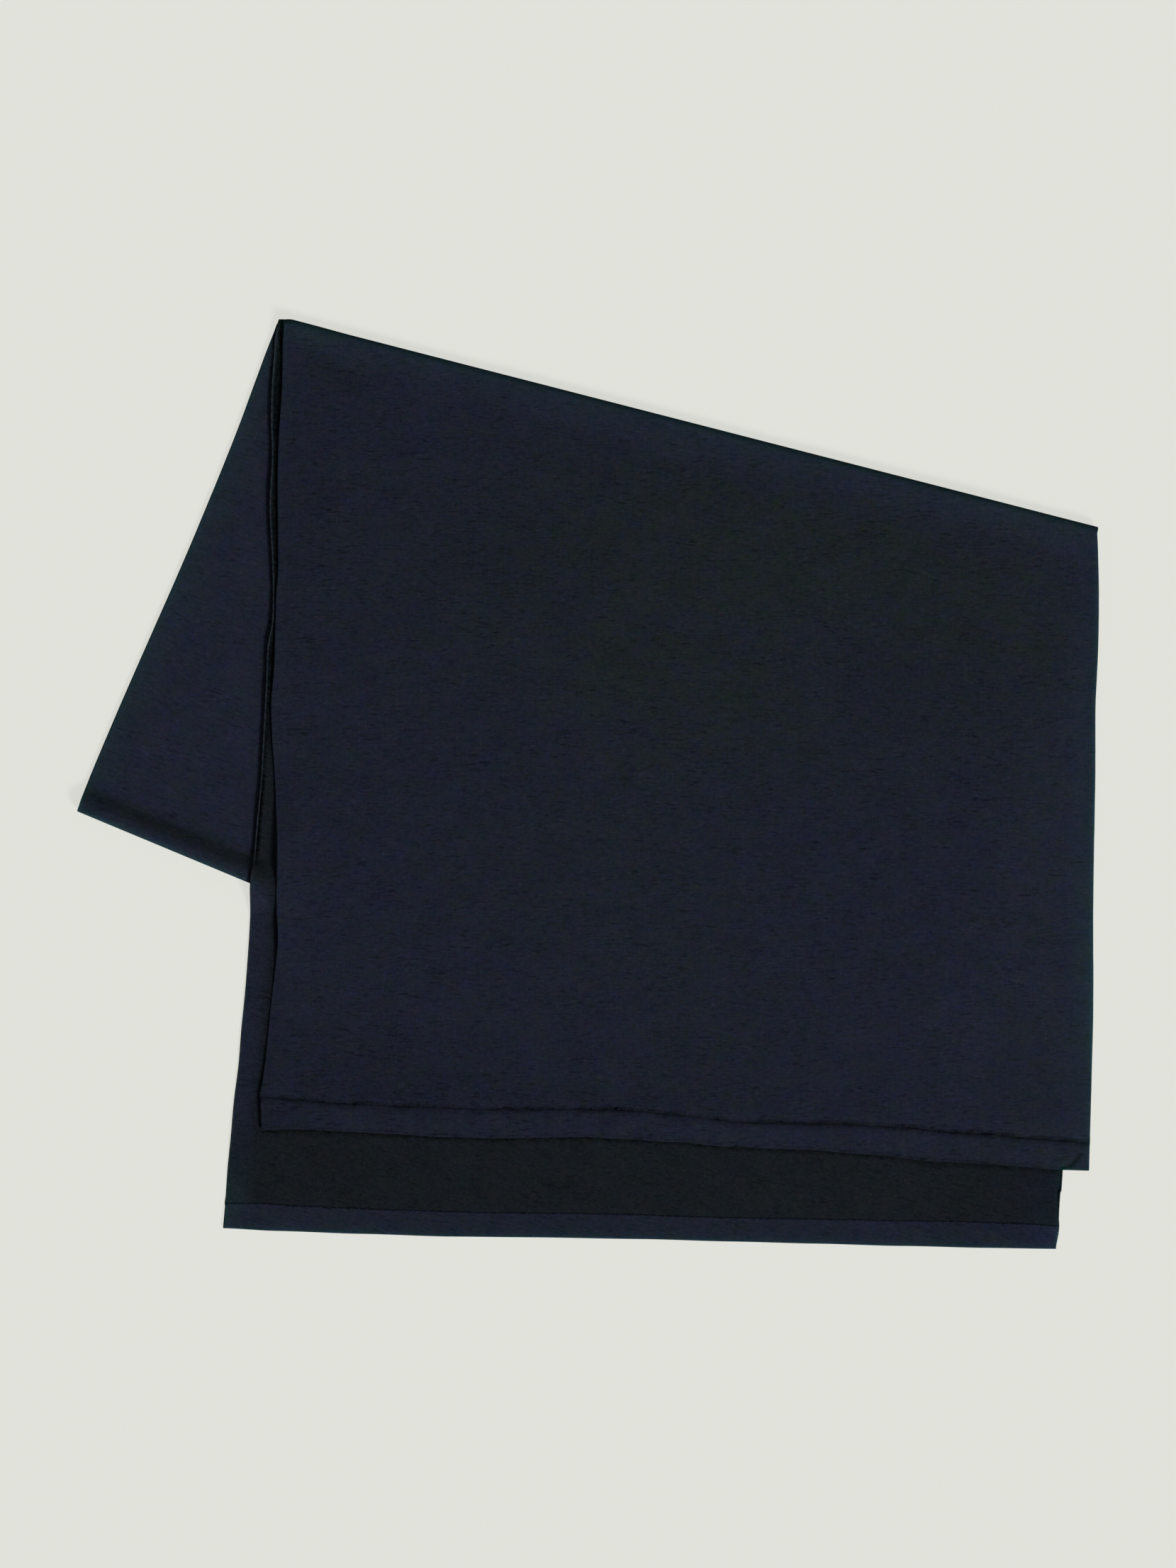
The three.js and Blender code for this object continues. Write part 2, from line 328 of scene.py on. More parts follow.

# The edges that show against the ground, and how strong the painted highlight along each is, near and
# broadly; it stands in for the light that their fuzz catches
OUTLINE = (
    (Path(FLAP_LEFT.points[:2]), 0.20, 0.2),
    (Path(FLAP_LEFT.points[1:]), 0.85, 0.70),
    (TOP_FOLD, 0.75, 0.40),
    (Path(((-221.9, 334.3), (-196.0, 327.7))), 0.75, 1.7),
    (Path(((366.3, 183.3), (367.6, 155.2), (366.1, 78.6))), 0.7, 0.35),
    (Path(((366.1, 78.6), (365.1, 2.0), (363.8, -60.0))), 0.9, 0.7),
    (Path(((363.8, -60.0), (363.8, -100.1), (362.9, -202.2))), 1.05, 1.0),
    (Path(((362.9, -202.2), (361.2, -259.1), (360.5, -278.3), (342.1, -277.8))), 0.8, 0.5),
    (Path(((342.0, -276.0), (340.0, -295.6))), 0.9, 0.0),
    (Path(((340.0, -295.6), (339.0, -317.8))), 0.3, 0.0),
    (Path(((339.0, -319.0), (337.0, -334.4))), 0.9, 1.5),
    (BACK_HEM_END, 0.7, 0.2),
    (Path(((-259.8, -278.8), (-261.2, -301.5), (-262.7, -319.6))), 0.6, 1.2),
    (Path(((-243.0, -72.0), (-246.6, -151.1), (-254.3, -227.7), (-259.8, -278.8))), 0.15, 0.0),
    (Path(((-367.2, -19.4), (-243.6, -71.0))), 1.1, 0.0),
)
CORNER_CREASE = Path(((341.5, -276.5), (348.0, -274.2), (351.5, -271.0), (353.5, -267.5)))
APEX_CREASE = Path(((-199.0, 307.0), (-183.0, 297.0), (-166.0, 281.0)))


def flat_place(layer: Layer, x: float, y: float) -> tuple[float, float]:
    """Where a point of a layer lies once the strip is unfolded into the front panel's plane.

    Args:
        layer: the point's layer.
        x: where, across the picture.
        y: where, up the picture.

    Returns:
        The x and y there.
    """
    if layer is Layer.UNDER:
        return TOP_FOLD.mirrored(x, y)
    if layer is Layer.UPPER:
        return TOP_FOLD.mirrored(*END_FOLD.mirrored(x, y))
    if layer is Layer.BACK:
        return TOP_FOLD.mirrored(*END_FOLD.mirrored(*TOP_FOLD.mirrored(x, y)))
    return x, y


@dataclass(frozen=True)
class Stack:
    """How high each layer lies over the surface, at the middle of its cloth."""

    settle_start: float = 2.0
    settle_far: float = 95.0
    settle_near: float = 22.0
    roll_lift: float = 6.2
    roll_crest: float = 5.0
    roll_foot: float = 21.5
    roll_fade_start: float = 130.0
    roll_fade_end: float = 185.0
    bridge_foot: float = 75.0
    flat_fold: float = 0.9
    full_fold: float = 3.5
    fold_swell: float = 2.3
    bare_pitch: float = 1.15
    margin_lift: float = 1.4
    margin_width: float = 3.2
    hem_rise: float = 60.0
    swell: float = 0.35

    def roll_share(self, x: float, y: float) -> float:
        """How much of the roll there is along the end fold: 0 where the panels press it flat.

        Args:
            x: where, across the picture.
            y: where, up the picture.

        Returns:
            About 1 along the flap's open part, falling to 0 under the panels.
        """
        along = END_FOLD.along(x, y)
        ends = mix(0.85, 1.0, smooth(along, 0.0, 25.0))
        ends *= 1.0 - smooth(along, self.roll_fade_start, self.roll_fade_end)
        return ends * (1.0 + 0.14 * unevenness(along, 0.0, 38.0, 2.4))

    def roll(self, x: float, y: float, foot: float) -> float:
        """How far the soft roll at the end of the flap lifts the cloth, given where it is flat again."""
        profile = 1.0 - smooth(-END_FOLD.past(x, y), self.roll_crest, foot)
        return self.roll_lift * profile * self.roll_share(x, y)

    def end_reach(self, x: float, y: float) -> float:
        """How far the middle of the cloth reaches at the end fold."""
        return mix(self.flat_fold, self.full_fold, min(self.roll_share(x, y), 1.0))

    def over_flap(self, x: float, y: float, near: float) -> float:
        """How much the flap lifts the cloth over it.

        Args:
            x: where, across the picture.
            y: where, up the picture.
            near: how far past the flap's end the cloth reaches the ground, by the left margin.

        Returns:
            1 where the flap lies below, falling to 0 where the cloth beside it lies down.
        """
        along = END_FOLD.along(x, y)
        reach = mix(near, self.settle_far, smooth(along, 150.0, 300.0))
        start = mix(self.settle_start, 8.0, smooth(along, 150.0, 300.0))
        past_end = smooth(END_FOLD.past(x, y), start, reach)
        past_right = smooth(FLAP_RIGHT_LINE.past(x, y), 8.0, self.settle_far)
        return 1.0 - max(past_end, past_right)

    def top_swell(self, x: float, y: float) -> float:
        """The slight thickening along the top fold."""
        thickening = self.fold_swell * (1.0 - smooth(TOP_FOLD.past(x, y), 2.0, 29.0))
        return thickening * (1.0 + 0.2 * unevenness(x, 0.0, 60.0, 5.0))

    def swelling(self, x: float, y: float) -> float:
        """The broad, shallow waves of cloth that was smoothed out by hand.

        Args:
            x: where, across the picture.
            y: where, up the picture.

        Returns:
            Their height.
        """
        broad = unevenness(x, y, 130.0, 3.7)
        narrow = unevenness(x, y, 52.0, 8.1)
        return self.swell * (0.9 + broad + 0.45 * narrow)

    def under_flap(self, x: float, y: float) -> float:
        """The height of the under flap."""
        return HALF_CLOTH

    def upper_flap(self, x: float, y: float) -> float:
        """The height of the upper flap."""
        return HALF_CLOTH + LAYER_PITCH + self.roll(x, y, self.roll_foot)

    def margin(self, x: float, y: float) -> float:
        """How far the back panel's left margin stands off the flap.

        Args:
            x: where, across the picture.
            y: where, up the picture.

        Returns:
            The distance.
        """
        from_edge = x - BACK_LEFT.x_at(y)
        below_top = smooth(BACK_LEFT.points[0][1] - y, 20.0, 150.0)
        above_roll = mix(1.0, 0.35, smooth(END_FOLD.past(x, y), -60.0, -20.0))
        return self.margin_lift * below_top * above_roll * (1.0 - smooth(from_edge, 0.0, self.margin_width))

    def back_panel(self, x: float, y: float) -> float:
        """The height of the back panel.

        Args:
            x: where, across the picture.
            y: where, up the picture.

        Returns:
            The height of the middle of its cloth.
        """
        lifted = 2 * LAYER_PITCH + self.roll(x, y, self.roll_foot) + 0.5 * self.swelling(x, y)
        over = self.over_flap(x, y, self.settle_near)
        return HALF_CLOTH + over * (lifted + self.margin(x, y))

    def front_panel(self, x: float, y: float) -> float:
        """The height of the front panel, without its hem's rise. It bridges the roll below it.

        Args:
            x: where, across the picture.
            y: where, up the picture.

        Returns:
            The height of the middle of its cloth.
        """
        lifted = 2 * LAYER_PITCH + self.roll(x, y, self.bridge_foot) + 0.5 * self.swelling(x, y)
        over = self.over_flap(x, y, 0.5 * (self.settle_near + self.settle_far))
        below = HALF_CLOTH + over * (lifted + self.margin(x, y))
        return below + mix(self.bare_pitch, LAYER_PITCH, over) + self.swelling(x, y) + self.top_swell(x, y)


@dataclass(frozen=True)
class Curl:
    """How a cut side edge curls towards the wrong side of the knit."""

    radius: float
    turn: float
    lift: float = 0.0
    low_lift: float = 0.0
    lift_width: float = 14.0
    top_turn: float | None = None
    seed: float = 0.0

    def lift_at(self, along: float) -> float:
        """How far the edge stands off what lies below, at a distance along it."""
        return mix(self.lift, self.low_lift, smooth(along, 230.0, 420.0))

    def turn_at(self, along: float) -> float:
        """How far the edge has turned.

        Args:
            along: the distance along the edge, from its top.

        Returns:
            The turn, in radians.
        """
        turn = self.turn
        if self.top_turn is not None:
            turn = mix(self.top_turn, self.turn, smooth(along, 40.0, 170.0))
        uneven = 0.3 * unevenness(along, 0.0, 26.0, self.seed)
        uneven += 0.14 * unevenness(along, 9.0, 9.0, self.seed)
        return turn * (0.92 + uneven)


@dataclass
class Line:
    """One row across the cloth, as places."""

    places: list[Vector]


@dataclass(frozen=True)
class Panel:
    """One layer between two folds, as two side edges and a height."""

    left: Path
    right: Path
    height: Callable[[float, float], float]
    side: Side
    left_curl: Curl
    right_curl: Curl
    curl_steps: int = 5
    edge_stations: tuple[float, ...] = (
        0.0, 0.8, 1.8, 3.2, 5.0, 7.5, 11.0, 14.0, 16.2, 17.6, 18.8, 20.0, 21.5,
    )  # fmt: skip
    middle_steps: int = 84

    def stations(self, width: float) -> list[float]:
        """Where the columns of the flat part are, as distances from its left end.

        Args:
            width: the flat part's width.

        Returns:
            The distances, in order.
        """
        first = self.edge_stations[-1]
        inner = width - 2 * first
        middle = [first + inner * step / self.middle_steps for step in range(1, self.middle_steps)]
        return [*self.edge_stations, *middle, *(width - place for place in reversed(self.edge_stations))]

    def line(
        self,
        share: float,
        curl_share: float,
        shift: Callable[[float, float], float] | None = None,
        drop: float = 0.0,
        drawn_in: Callable[[Vector], Vector] | None = None,
    ) -> Line:
        """One row across the panel.

        Args:
            share: how far down the panel's side edges the row is, from the fold.
            curl_share: how much of the side edges' curl there is on this row.
            shift: moves a point up the picture, given its x and y.
            drop: how far the row lies below the panel's height.
            drawn_in: how far a point of the row is moved in the plane of the picture.

        Returns:
            The row.
        """
        left = self.left.at(share)
        right = self.right.at(share)
        across = (right - left).normalized()
        facing = UP * self.side.value
        along = self.left.lengths()[-1] * share
        turns = [curl.turn_at(along) * curl_share for curl in (self.left_curl, self.right_curl)]
        start, end = (
            edge - outward * ((curl.radius + HALF_CLOTH) * math.sin(min(turn, math.pi / 2)))
            for edge, outward, curl, turn in (
                (left, -across, self.left_curl, turns[0]),
                (right, across, self.right_curl, turns[1]),
            )
        )
        width = (end - start).length
        places = []
        for station in self.stations(width):
            flat = start + across * station
            flat += drawn_in(flat) if drawn_in else Vector()
            y = flat.y + (shift(flat.x, flat.y) if shift else 0.0)
            lift = 0.0
            for curl, distance in ((self.left_curl, station), (self.right_curl, width - station)):
                lift += curl.lift_at(along) * curl_share * (1.0 - smooth(distance, 0.0, curl.lift_width))
            places.append(Vector((flat.x, y, self.height(flat.x, y) + lift - drop)))
        left_rim = self.rim(places[0], -across, facing, self.left_curl.radius, turns[0])
        right_rim = self.rim(places[-1], across, facing, self.right_curl.radius, turns[1])
        return Line([*reversed(left_rim), *places, *right_rim])

    def rim(
        self, place: Vector, outward: Vector, facing: Vector, radius: float, turn: float
    ) -> list[Vector]:
        """The places along a curled edge, from the flat part outwards.

        Args:
            place: where the curl starts.
            outward: the direction out of the panel.
            facing: where the right side faces.
            radius: the curl's radius.
            turn: how far the edge turns, in radians.

        Returns:
            The places.
        """
        rim = []
        for step in range(1, self.curl_steps + 1):
            angle = turn * step / self.curl_steps
            reach, fall = radius * math.sin(angle), radius * (1.0 - math.cos(angle))
            rim.append(place + outward * reach - facing * fall)
        return rim


def fold_lines(
    first: Line, last: Line, outward: Vector, reach_at: Callable[[float, float], float], steps: int
) -> list[Line]:
    """The rows where the cloth turns over between two layers, on half an ellipse.

    Args:
        first: the last row of one layer.
        last: the first row of the next layer.
        outward: the flat direction in which the fold bulges.
        reach_at: how far the middle of the cloth bulges at x, y.
        steps: how many strips the turn is made of.

    Returns:
        The rows between the two.
    """
    lines = []
    for step in range(1, steps):
        share = step / steps
        turn = (share - 0.5) * math.pi
        places = []
        for a, b in zip(first.places, last.places):
            place = a.lerp(b, share)
            place.z = a.z + (b.z - a.z) / 2 * (1.0 + math.sin(turn))
            places.append(place + outward * (reach_at(a.x, a.y) * math.cos(turn)))
        lines.append(Line(places))
    return lines


def smooth_piece(name: str, bm: bmesh.types.BMesh) -> bpy.types.Object:
    """Turns a mesh in millimetres into a smooth object in metres.

    Args:
        name: the object's name.
        bm: the mesh, which is used up.

    Returns:
        The new object, without a material.
    """
    for face in bm.faces:
        face.smooth = True
    bmesh.ops.scale(bm, vec=(MM, MM, MM), verts=bm.verts)
    mesh = bpy.data.meshes.new(name)
    bm.to_mesh(mesh)
    bm.free()
    piece = bpy.data.objects.new(name, mesh)
    bpy.context.scene.collection.objects.link(piece)
    return piece


@dataclass(frozen=True)
class DyePatch:
    """A broad patch where the navy turns greener or deeper."""

    centre: tuple[float, float]
    reach: tuple[float, float]
    tilt: float
    strength: float

    def at(self, x: float, y: float) -> float:
        """How strong the patch is at a point.

        Args:
            x: where, across the picture.
            y: where, up the picture.

        Returns:
            The strength, 0 outside the patch.
        """
        dx, dy = x - self.centre[0], y - self.centre[1]
        turn = math.radians(self.tilt)
        along = dx * math.cos(turn) + dy * math.sin(turn)
        across = -dx * math.sin(turn) + dy * math.cos(turn)
        distance = math.hypot(along / self.reach[0], across / self.reach[1])
        return self.strength * (1.0 - smooth(distance, 0.3, 1.35))


GREENER_PATCHES = (
    DyePatch((150.0, 178.0), (205.0, 74.0), -13.0, 1.0),
    DyePatch((75.0, 70.0), (98.0, 80.0), 0.0, 0.85),
    DyePatch((200.0, 30.0), (95.0, 65.0), 0.0, 0.35),
    DyePatch((-30.0, 125.0), (80.0, 75.0), 0.0, 0.38),
    DyePatch((-95.0, 140.0), (140.0, 105.0), -10.0, 0.28),
    DyePatch((10.0, -70.0), (130.0, 85.0), -20.0, 0.36),
    DyePatch((285.0, 90.0), (75.0, 60.0), 0.0, 0.45),
    DyePatch((90.0, -180.0), (60.0, 60.0), 0.0, 0.25),
    # A greener tint on the painted shade of the wrinkle by the apex
    DyePatch((-181.0, 294.0), (26.0, 13.0), -38.0, 0.7),
)
DEEPER_PATCHES = (
    DyePatch((-45.0, 168.0), (75.0, 42.0), 0.0, 0.055),
    DyePatch((250.0, 78.0), (85.0, 50.0), 0.0, 0.055),
    DyePatch((-120.0, -203.0), (105.0, 45.0), 0.0, 0.085),
    DyePatch((-205.0, 205.0), (22.0, 60.0), 0.0, 0.03),
    DyePatch((12.0, -240.0), (60.0, 24.0), -3.0, 0.06),
)


@dataclass
class Sheet:
    """A cloth surface that is being made, row by row.

    In the methods that shade it, places are in millimetres and amounts are shares of the cloth's tone; some
    of them paint shade and highlights into its colour.
    """

    name: str
    lines: list[Line] = field(default_factory=list)
    layers: list[Layer] = field(default_factory=list)

    def add(self, layer: Layer, lines: Sequence[Line]) -> None:
        """Adds rows of one layer."""
        self.lines += lines
        self.layers += [layer] * len(lines)

    def add_fold(self, first: Layer, last: Layer, lines: Sequence[Line]) -> None:
        """Adds a fold's rows, half of them to each layer.

        Args:
            first: the layer before the fold.
            last: the layer after it.
            lines: the fold's rows.
        """
        half = len(lines) // 2
        self.add(first, lines[:half])
        self.add(last, lines[half:])

    def build(self) -> bpy.types.Object:
        """Makes the surface, with its flat cloth as a UV map in metres and its shading attributes.

        Returns:
            The new object, with the cloth's thickness and no material.
        """
        columns, rows = len(self.lines[0].places), len(self.lines)
        bm = bmesh.new()
        bmesh.ops.create_grid(bm, x_segments=columns - 1, y_segments=rows - 1, size=1.0)
        uv = bm.loops.layers.uv.new("flat_cloth")
        attributes = [bm.verts.layers.float.new(name) for name in SHADING]
        flat = {}
        for vert in bm.verts:
            column = round((vert.co.x + 1.0) / 2.0 * (columns - 1))
            row = round((vert.co.y + 1.0) / 2.0 * (rows - 1))
            place, layer = self.lines[row].places[column], self.layers[row]
            vert.co = place
            flat[vert] = flat_place(layer, place.x, place.y)
            for attribute, value in zip(attributes, self.shading(layer, place.x, place.y)):
                vert[attribute] = value
        for face in bm.faces:
            for loop in face.loops:
                u, v = flat[loop.vert]
                loop[uv].uv = (u * MM, v * MM)
        piece = smooth_piece(self.name, bm)
        solid = piece.modifiers.new("cloth thickness", "SOLIDIFY")
        solid.thickness = CLOTH_THICKNESS * MM
        solid.offset = 0.0
        solid.use_even_offset = False
        solid.material_offset = 1
        solid.material_offset_rim = 2
        return piece

    def shading(self, layer: Layer, x: float, y: float) -> tuple[float, ...]:
        """The values at a point that the materials read, in the order of SHADING.

        Args:
            layer: the point's layer.
            x: where, across the picture.
            y: where, up the picture.

        Returns:
            The values.
        """
        return (
            *self.edge_light(layer, x, y),
            self.greener(layer, x, y),
            self.tone_and_painted_light(layer, x, y),
            self.bluer_margin(layer, x, y),
            self.crease(layer, x, y),
        )

    def edge_light(self, layer: Layer, x: float, y: float) -> tuple[float, float, float]:
        """How near a point is to an edge with a painted highlight, which stands in for the light that the
        fuzz catches.

        Args:
            layer: the point's layer.
            x: where, across the picture.
            y: where, up the picture.

        Returns:
            The nearness, 1 on the edge and 0 well inside, then how strong the edge's painted highlight is
            close by and broadly.
        """
        edges = [*OUTLINE, *([(FRONT_LEFT, 0.08, 0.0)] if layer is Layer.FRONT else [])]
        found = [(path.distance(x, y), close, broad) for path, close, broad in edges]
        nearest = min(distance for distance, _, _ in found)
        weights = [math.exp(-(distance - nearest) / 4.0) for distance, _, _ in found]
        close = sum(weight * own for weight, (_, own, _) in zip(weights, found)) / sum(weights)
        broad = sum(weight * own for weight, (_, _, own) in zip(weights, found)) / sum(weights)
        return max(1.0 - nearest / EDGE_REACH, 0.0), close, broad

    def tone_and_painted_light(self, layer: Layer, x: float, y: float) -> float:
        """How much lighter than its middle tone the cloth is at a point, from its tone and from painted
        shade and painted highlights.

        Args:
            layer: the point's layer.
            x: where, across the picture.
            y: where, up the picture.

        Returns:
            The difference, negative where it is darker.
        """
        if layer in (Layer.UNDER, Layer.UPPER):
            # On the flaps: lighter overall, less so near their left edge
            return 0.09 - 0.06 * (1.0 - smooth(FLAP_LEFT.distance(x, y), 4.0, 28.0))
        if layer is Layer.BACK:
            # On the back panel: the painted shade and painted highlight of slot_shade, darker towards the
            # bottom left, and a little lighter on the hem
            on_hem = smooth(BACK_SEAM.y_at(x) - y, -1.0, 2.0)
            by_left_end = 0.05 * (1.0 - smooth(x, -120.0, 0.0)) * smooth(-y, 240.0, 250.0)
            return mix(-self.slot_shade(x, y) - by_left_end, 0.04, on_hem)
        # On the front panel: lighter towards the right edge, most at the lower right
        by_right_edge = 0.055 * smooth(x, 265.0, 335.0)
        by_right_edge += 0.040 * smooth(x, 285.0, 345.0) * smooth(-y, -60.0, 60.0)
        # Painted highlight along the top fold, where its rounded swell faces the light
        by_fold = 0.06 * (1.0 - smooth(TOP_FOLD.past(x, y), 8.0, 34.0))
        # Painted shade along the wrinkle by the apex
        wrinkle = 0.17 * bell(APEX_CREASE.distance(x, y), 5.0)
        # Darker by the front hem's left end
        hem_end = 0.12 * (1.0 - smooth(x, -222.0, -190.0)) * smooth(-y, 225.0, 232.0)
        # Painted shade just above the front seam, which offsets the light that the rise onto the hem
        # catches
        above_seam = y - FRONT_SEAM.y_at(x)
        by_seam = smooth(above_seam, -1.0, 1.0) * (1.0 - smooth(above_seam, 4.0, 30.0))
        by_seam *= mix(0.12, 0.06, smooth(x, 110.0, 200.0))
        # Darker in the deeper patches, and lighter towards the lower right overall
        deeper = wrinkle + hem_end + by_seam + sum(patch.at(x, y) for patch in DEEPER_PATCHES)
        return 0.05 * (0.6 * x - 0.8 * y) / 300.0 - 0.015 + by_right_edge + by_fold - deeper

    def slot_shade(self, x: float, y: float) -> float:
        """The painted shade on the back panel's left margin beside its curled edge, beside the front panel
        and beside the front hem's end, less a painted highlight on its curled edge by the top corner.

        Args:
            x: where, across the picture.
            y: where, up the picture.

        Returns:
            How much darker it is painted, negative where a highlight is painted.
        """
        inset, gap = x - BACK_LEFT.x_at(y), FRONT_LEFT.x_at(y) - x
        # Painted shade beside the curled edge
        start = mix(0.8, 1.3, smooth(y, 150.0, 300.0))
        beside_lip = smooth(inset, start, start + 0.6)
        beside_lip *= 1.0 - smooth(inset, 1.8, 4.6) * smooth(-y, -50.0, 0.0)
        beside_lip *= mix(0.70, 1.10, smooth(-y, -20.0, 25.0)) * (1.0 - smooth(-y, 42.0, 66.0))
        beside_lip *= 1.0 - smooth(y, 322.0, 332.0)
        # Painted shade beside the front panel's edge and beside the front hem's end
        by_hem = smooth(-y, 185.0, 212.0)
        beside_front = (1.0 - smooth(gap, 2.0, mix(6.5, 9.0, by_hem))) * smooth(-y, -60.0, 0.0)
        beside_front *= mix(0.08, 0.22, smooth(-y, 55.0, 85.0)) - 0.10 * by_hem
        beside_front *= 1.0 - smooth(-y, 250.0, 258.0)
        beside_hem = smooth(gap, 1.2, 3.0) * (1.0 - smooth(gap, 3.0, 14.0))
        beside_hem *= 0.28 * smooth(-y, 222.0, 233.0) * (1.0 - smooth(-y, 246.0, 254.0))
        # Painted highlight on the curled edge near the top corner
        lit_corner = (1.0 - smooth(inset, 0.8, 1.6)) * smooth(y, 285.0, 310.0)
        return max(beside_lip, beside_front, beside_hem) - lit_corner

    def greener(self, layer: Layer, x: float, y: float) -> float:
        """How much greener than its middle tone the cloth is at a point.

        Args:
            layer: the point's layer.
            x: where, across the picture.
            y: where, up the picture.

        Returns:
            Up to about 1, negative where it is bluer.
        """
        if layer is Layer.UPPER:
            # On the upper flap, a greener tint painted along the end roll's slope, which lies in shade
            inset = -END_FOLD.past(x, y)
            return 0.75 * smooth(inset, 4.0, 13.0) * (1.0 - smooth(inset, 15.0, 23.0))
        if layer is Layer.BACK:
            return -0.9 * smooth(x, 292.0, 330.0)
        if layer is not Layer.FRONT:
            return 0.0
        from_right = FRONT_RIGHT.x_at(y) - x
        inside = smooth(from_right, 4.0, 40.0) * smooth(TOP_FOLD.past(x, y), 6.0, 46.0)
        by_right_edge = 0.25 * smooth(x, 265.0, 335.0) * smooth(from_right, 6.0, 36.0)
        return inside * min(sum(patch.at(x, y) for patch in GREENER_PATCHES), 1.1) + by_right_edge

    def crease(self, layer: Layer, x: float, y: float) -> float:
        """How deep a point lies in the painted shade of a stitched line, of a hem's edge, of a corner
        crease or of the back panel's curled edge.

        Args:
            layer: the point's layer.
            x: where, across the picture.
            y: where, up the picture.

        Returns:
            0 in the open, about 1 in the middle of a line.
        """
        above_end = y - FRONT_HEM_END.y_at(x)
        if layer is Layer.FRONT:
            # Painted shade along the front seam's groove, along the hem's rounded lower edge and in the
            # crease at the hem's right corner
            from_seam = y - FRONT_SEAM.y_at(x) - 0.8 * unevenness(x, 0.0, 17.0, 40.0)
            rightwards = smooth(x, 40.0, 300.0)
            seam = bell(from_seam, mix(2.1, 2.3, rightwards)) * mix(0.95, 1.45, rightwards)
            seam *= smooth(unevenness(x, 0.0, 31.0, 44.0), mix(-0.75, -1.3, rightwards), 0.2)
            seam *= 1.0 + 0.45 * bell(x - 5.0, 30.0) - 0.35 * bell(x + 92.0, 40.0)
            rounding = mix(0.7, 0.95, rightwards)
            rounding *= 1.0 - smooth(above_end, 0.6, mix(3.4, 4.2, rightwards))
            corner = 1.7 * bell(CORNER_CREASE.distance(x, y), CREASE_WIDTH)
            return seam + rounding + corner
        # Painted shadow of the back panel's curled edge on the upper flap
        if layer is Layer.UPPER:
            from_lip = x - BACK_LEFT.x_at(y)
            tip = 1.2 * bell(from_lip + 0.6, 1.5) * smooth(y, 292.0, 306.0)
            return tip + 0.5 * smooth(from_lip, -7.0, 0.0) * (1.0 - smooth(-y, 40.0, 75.0))
        # Painted shade on the back panel just below the front hem's edge
        if layer is Layer.BACK and FRONT_HEM_END.points[0][0] < x < 341.0:
            return 1.05 * smooth(-above_end, -3.0, -0.5) * (1.0 - smooth(-above_end, 0.8, 4.2))
        return 0.0

    def bluer_margin(self, layer: Layer, x: float, y: float) -> float:
        """How much of a lighter, bluer colour shows on the back panel's left margin.

        Args:
            layer: the point's layer.
            x: where, across the picture.
            y: where, up the picture.

        Returns:
            A share from 0 to 1.
        """
        if layer is not Layer.BACK:
            return 0.0
        margin = x + 243.0 + 0.085 * (-72.0 - y)
        below_flap = smooth(END_FOLD.past(x, y), -6.0, 2.0)
        open_part = 1.0 - 0.55 * smooth(-y, 238.0, 262.0)
        return below_flap * open_part * (1.0 - smooth(margin, 9.0, 24.0))


@dataclass(frozen=True)
class SeamBend:
    """How the rows near a panel's seam are bent so that they follow it."""

    panel: Panel
    seam: Path
    start: float
    width: float
    reach: float

    def shift(self, x: float, y: float) -> float:
        """How far a point moves up the picture.

        Args:
            x: where, across the picture.
            y: where, up the picture.

        Returns:
            The distance, 0 further than reach above the seam.
        """
        left, right = self.panel.left.points[-1][1], self.panel.right.points[-1][1]
        straight = mix(left, right, (x - self.start) / self.width)
        return (self.seam.y_at(x) - straight) * (1.0 - smooth(y - straight, 0.0, self.reach))


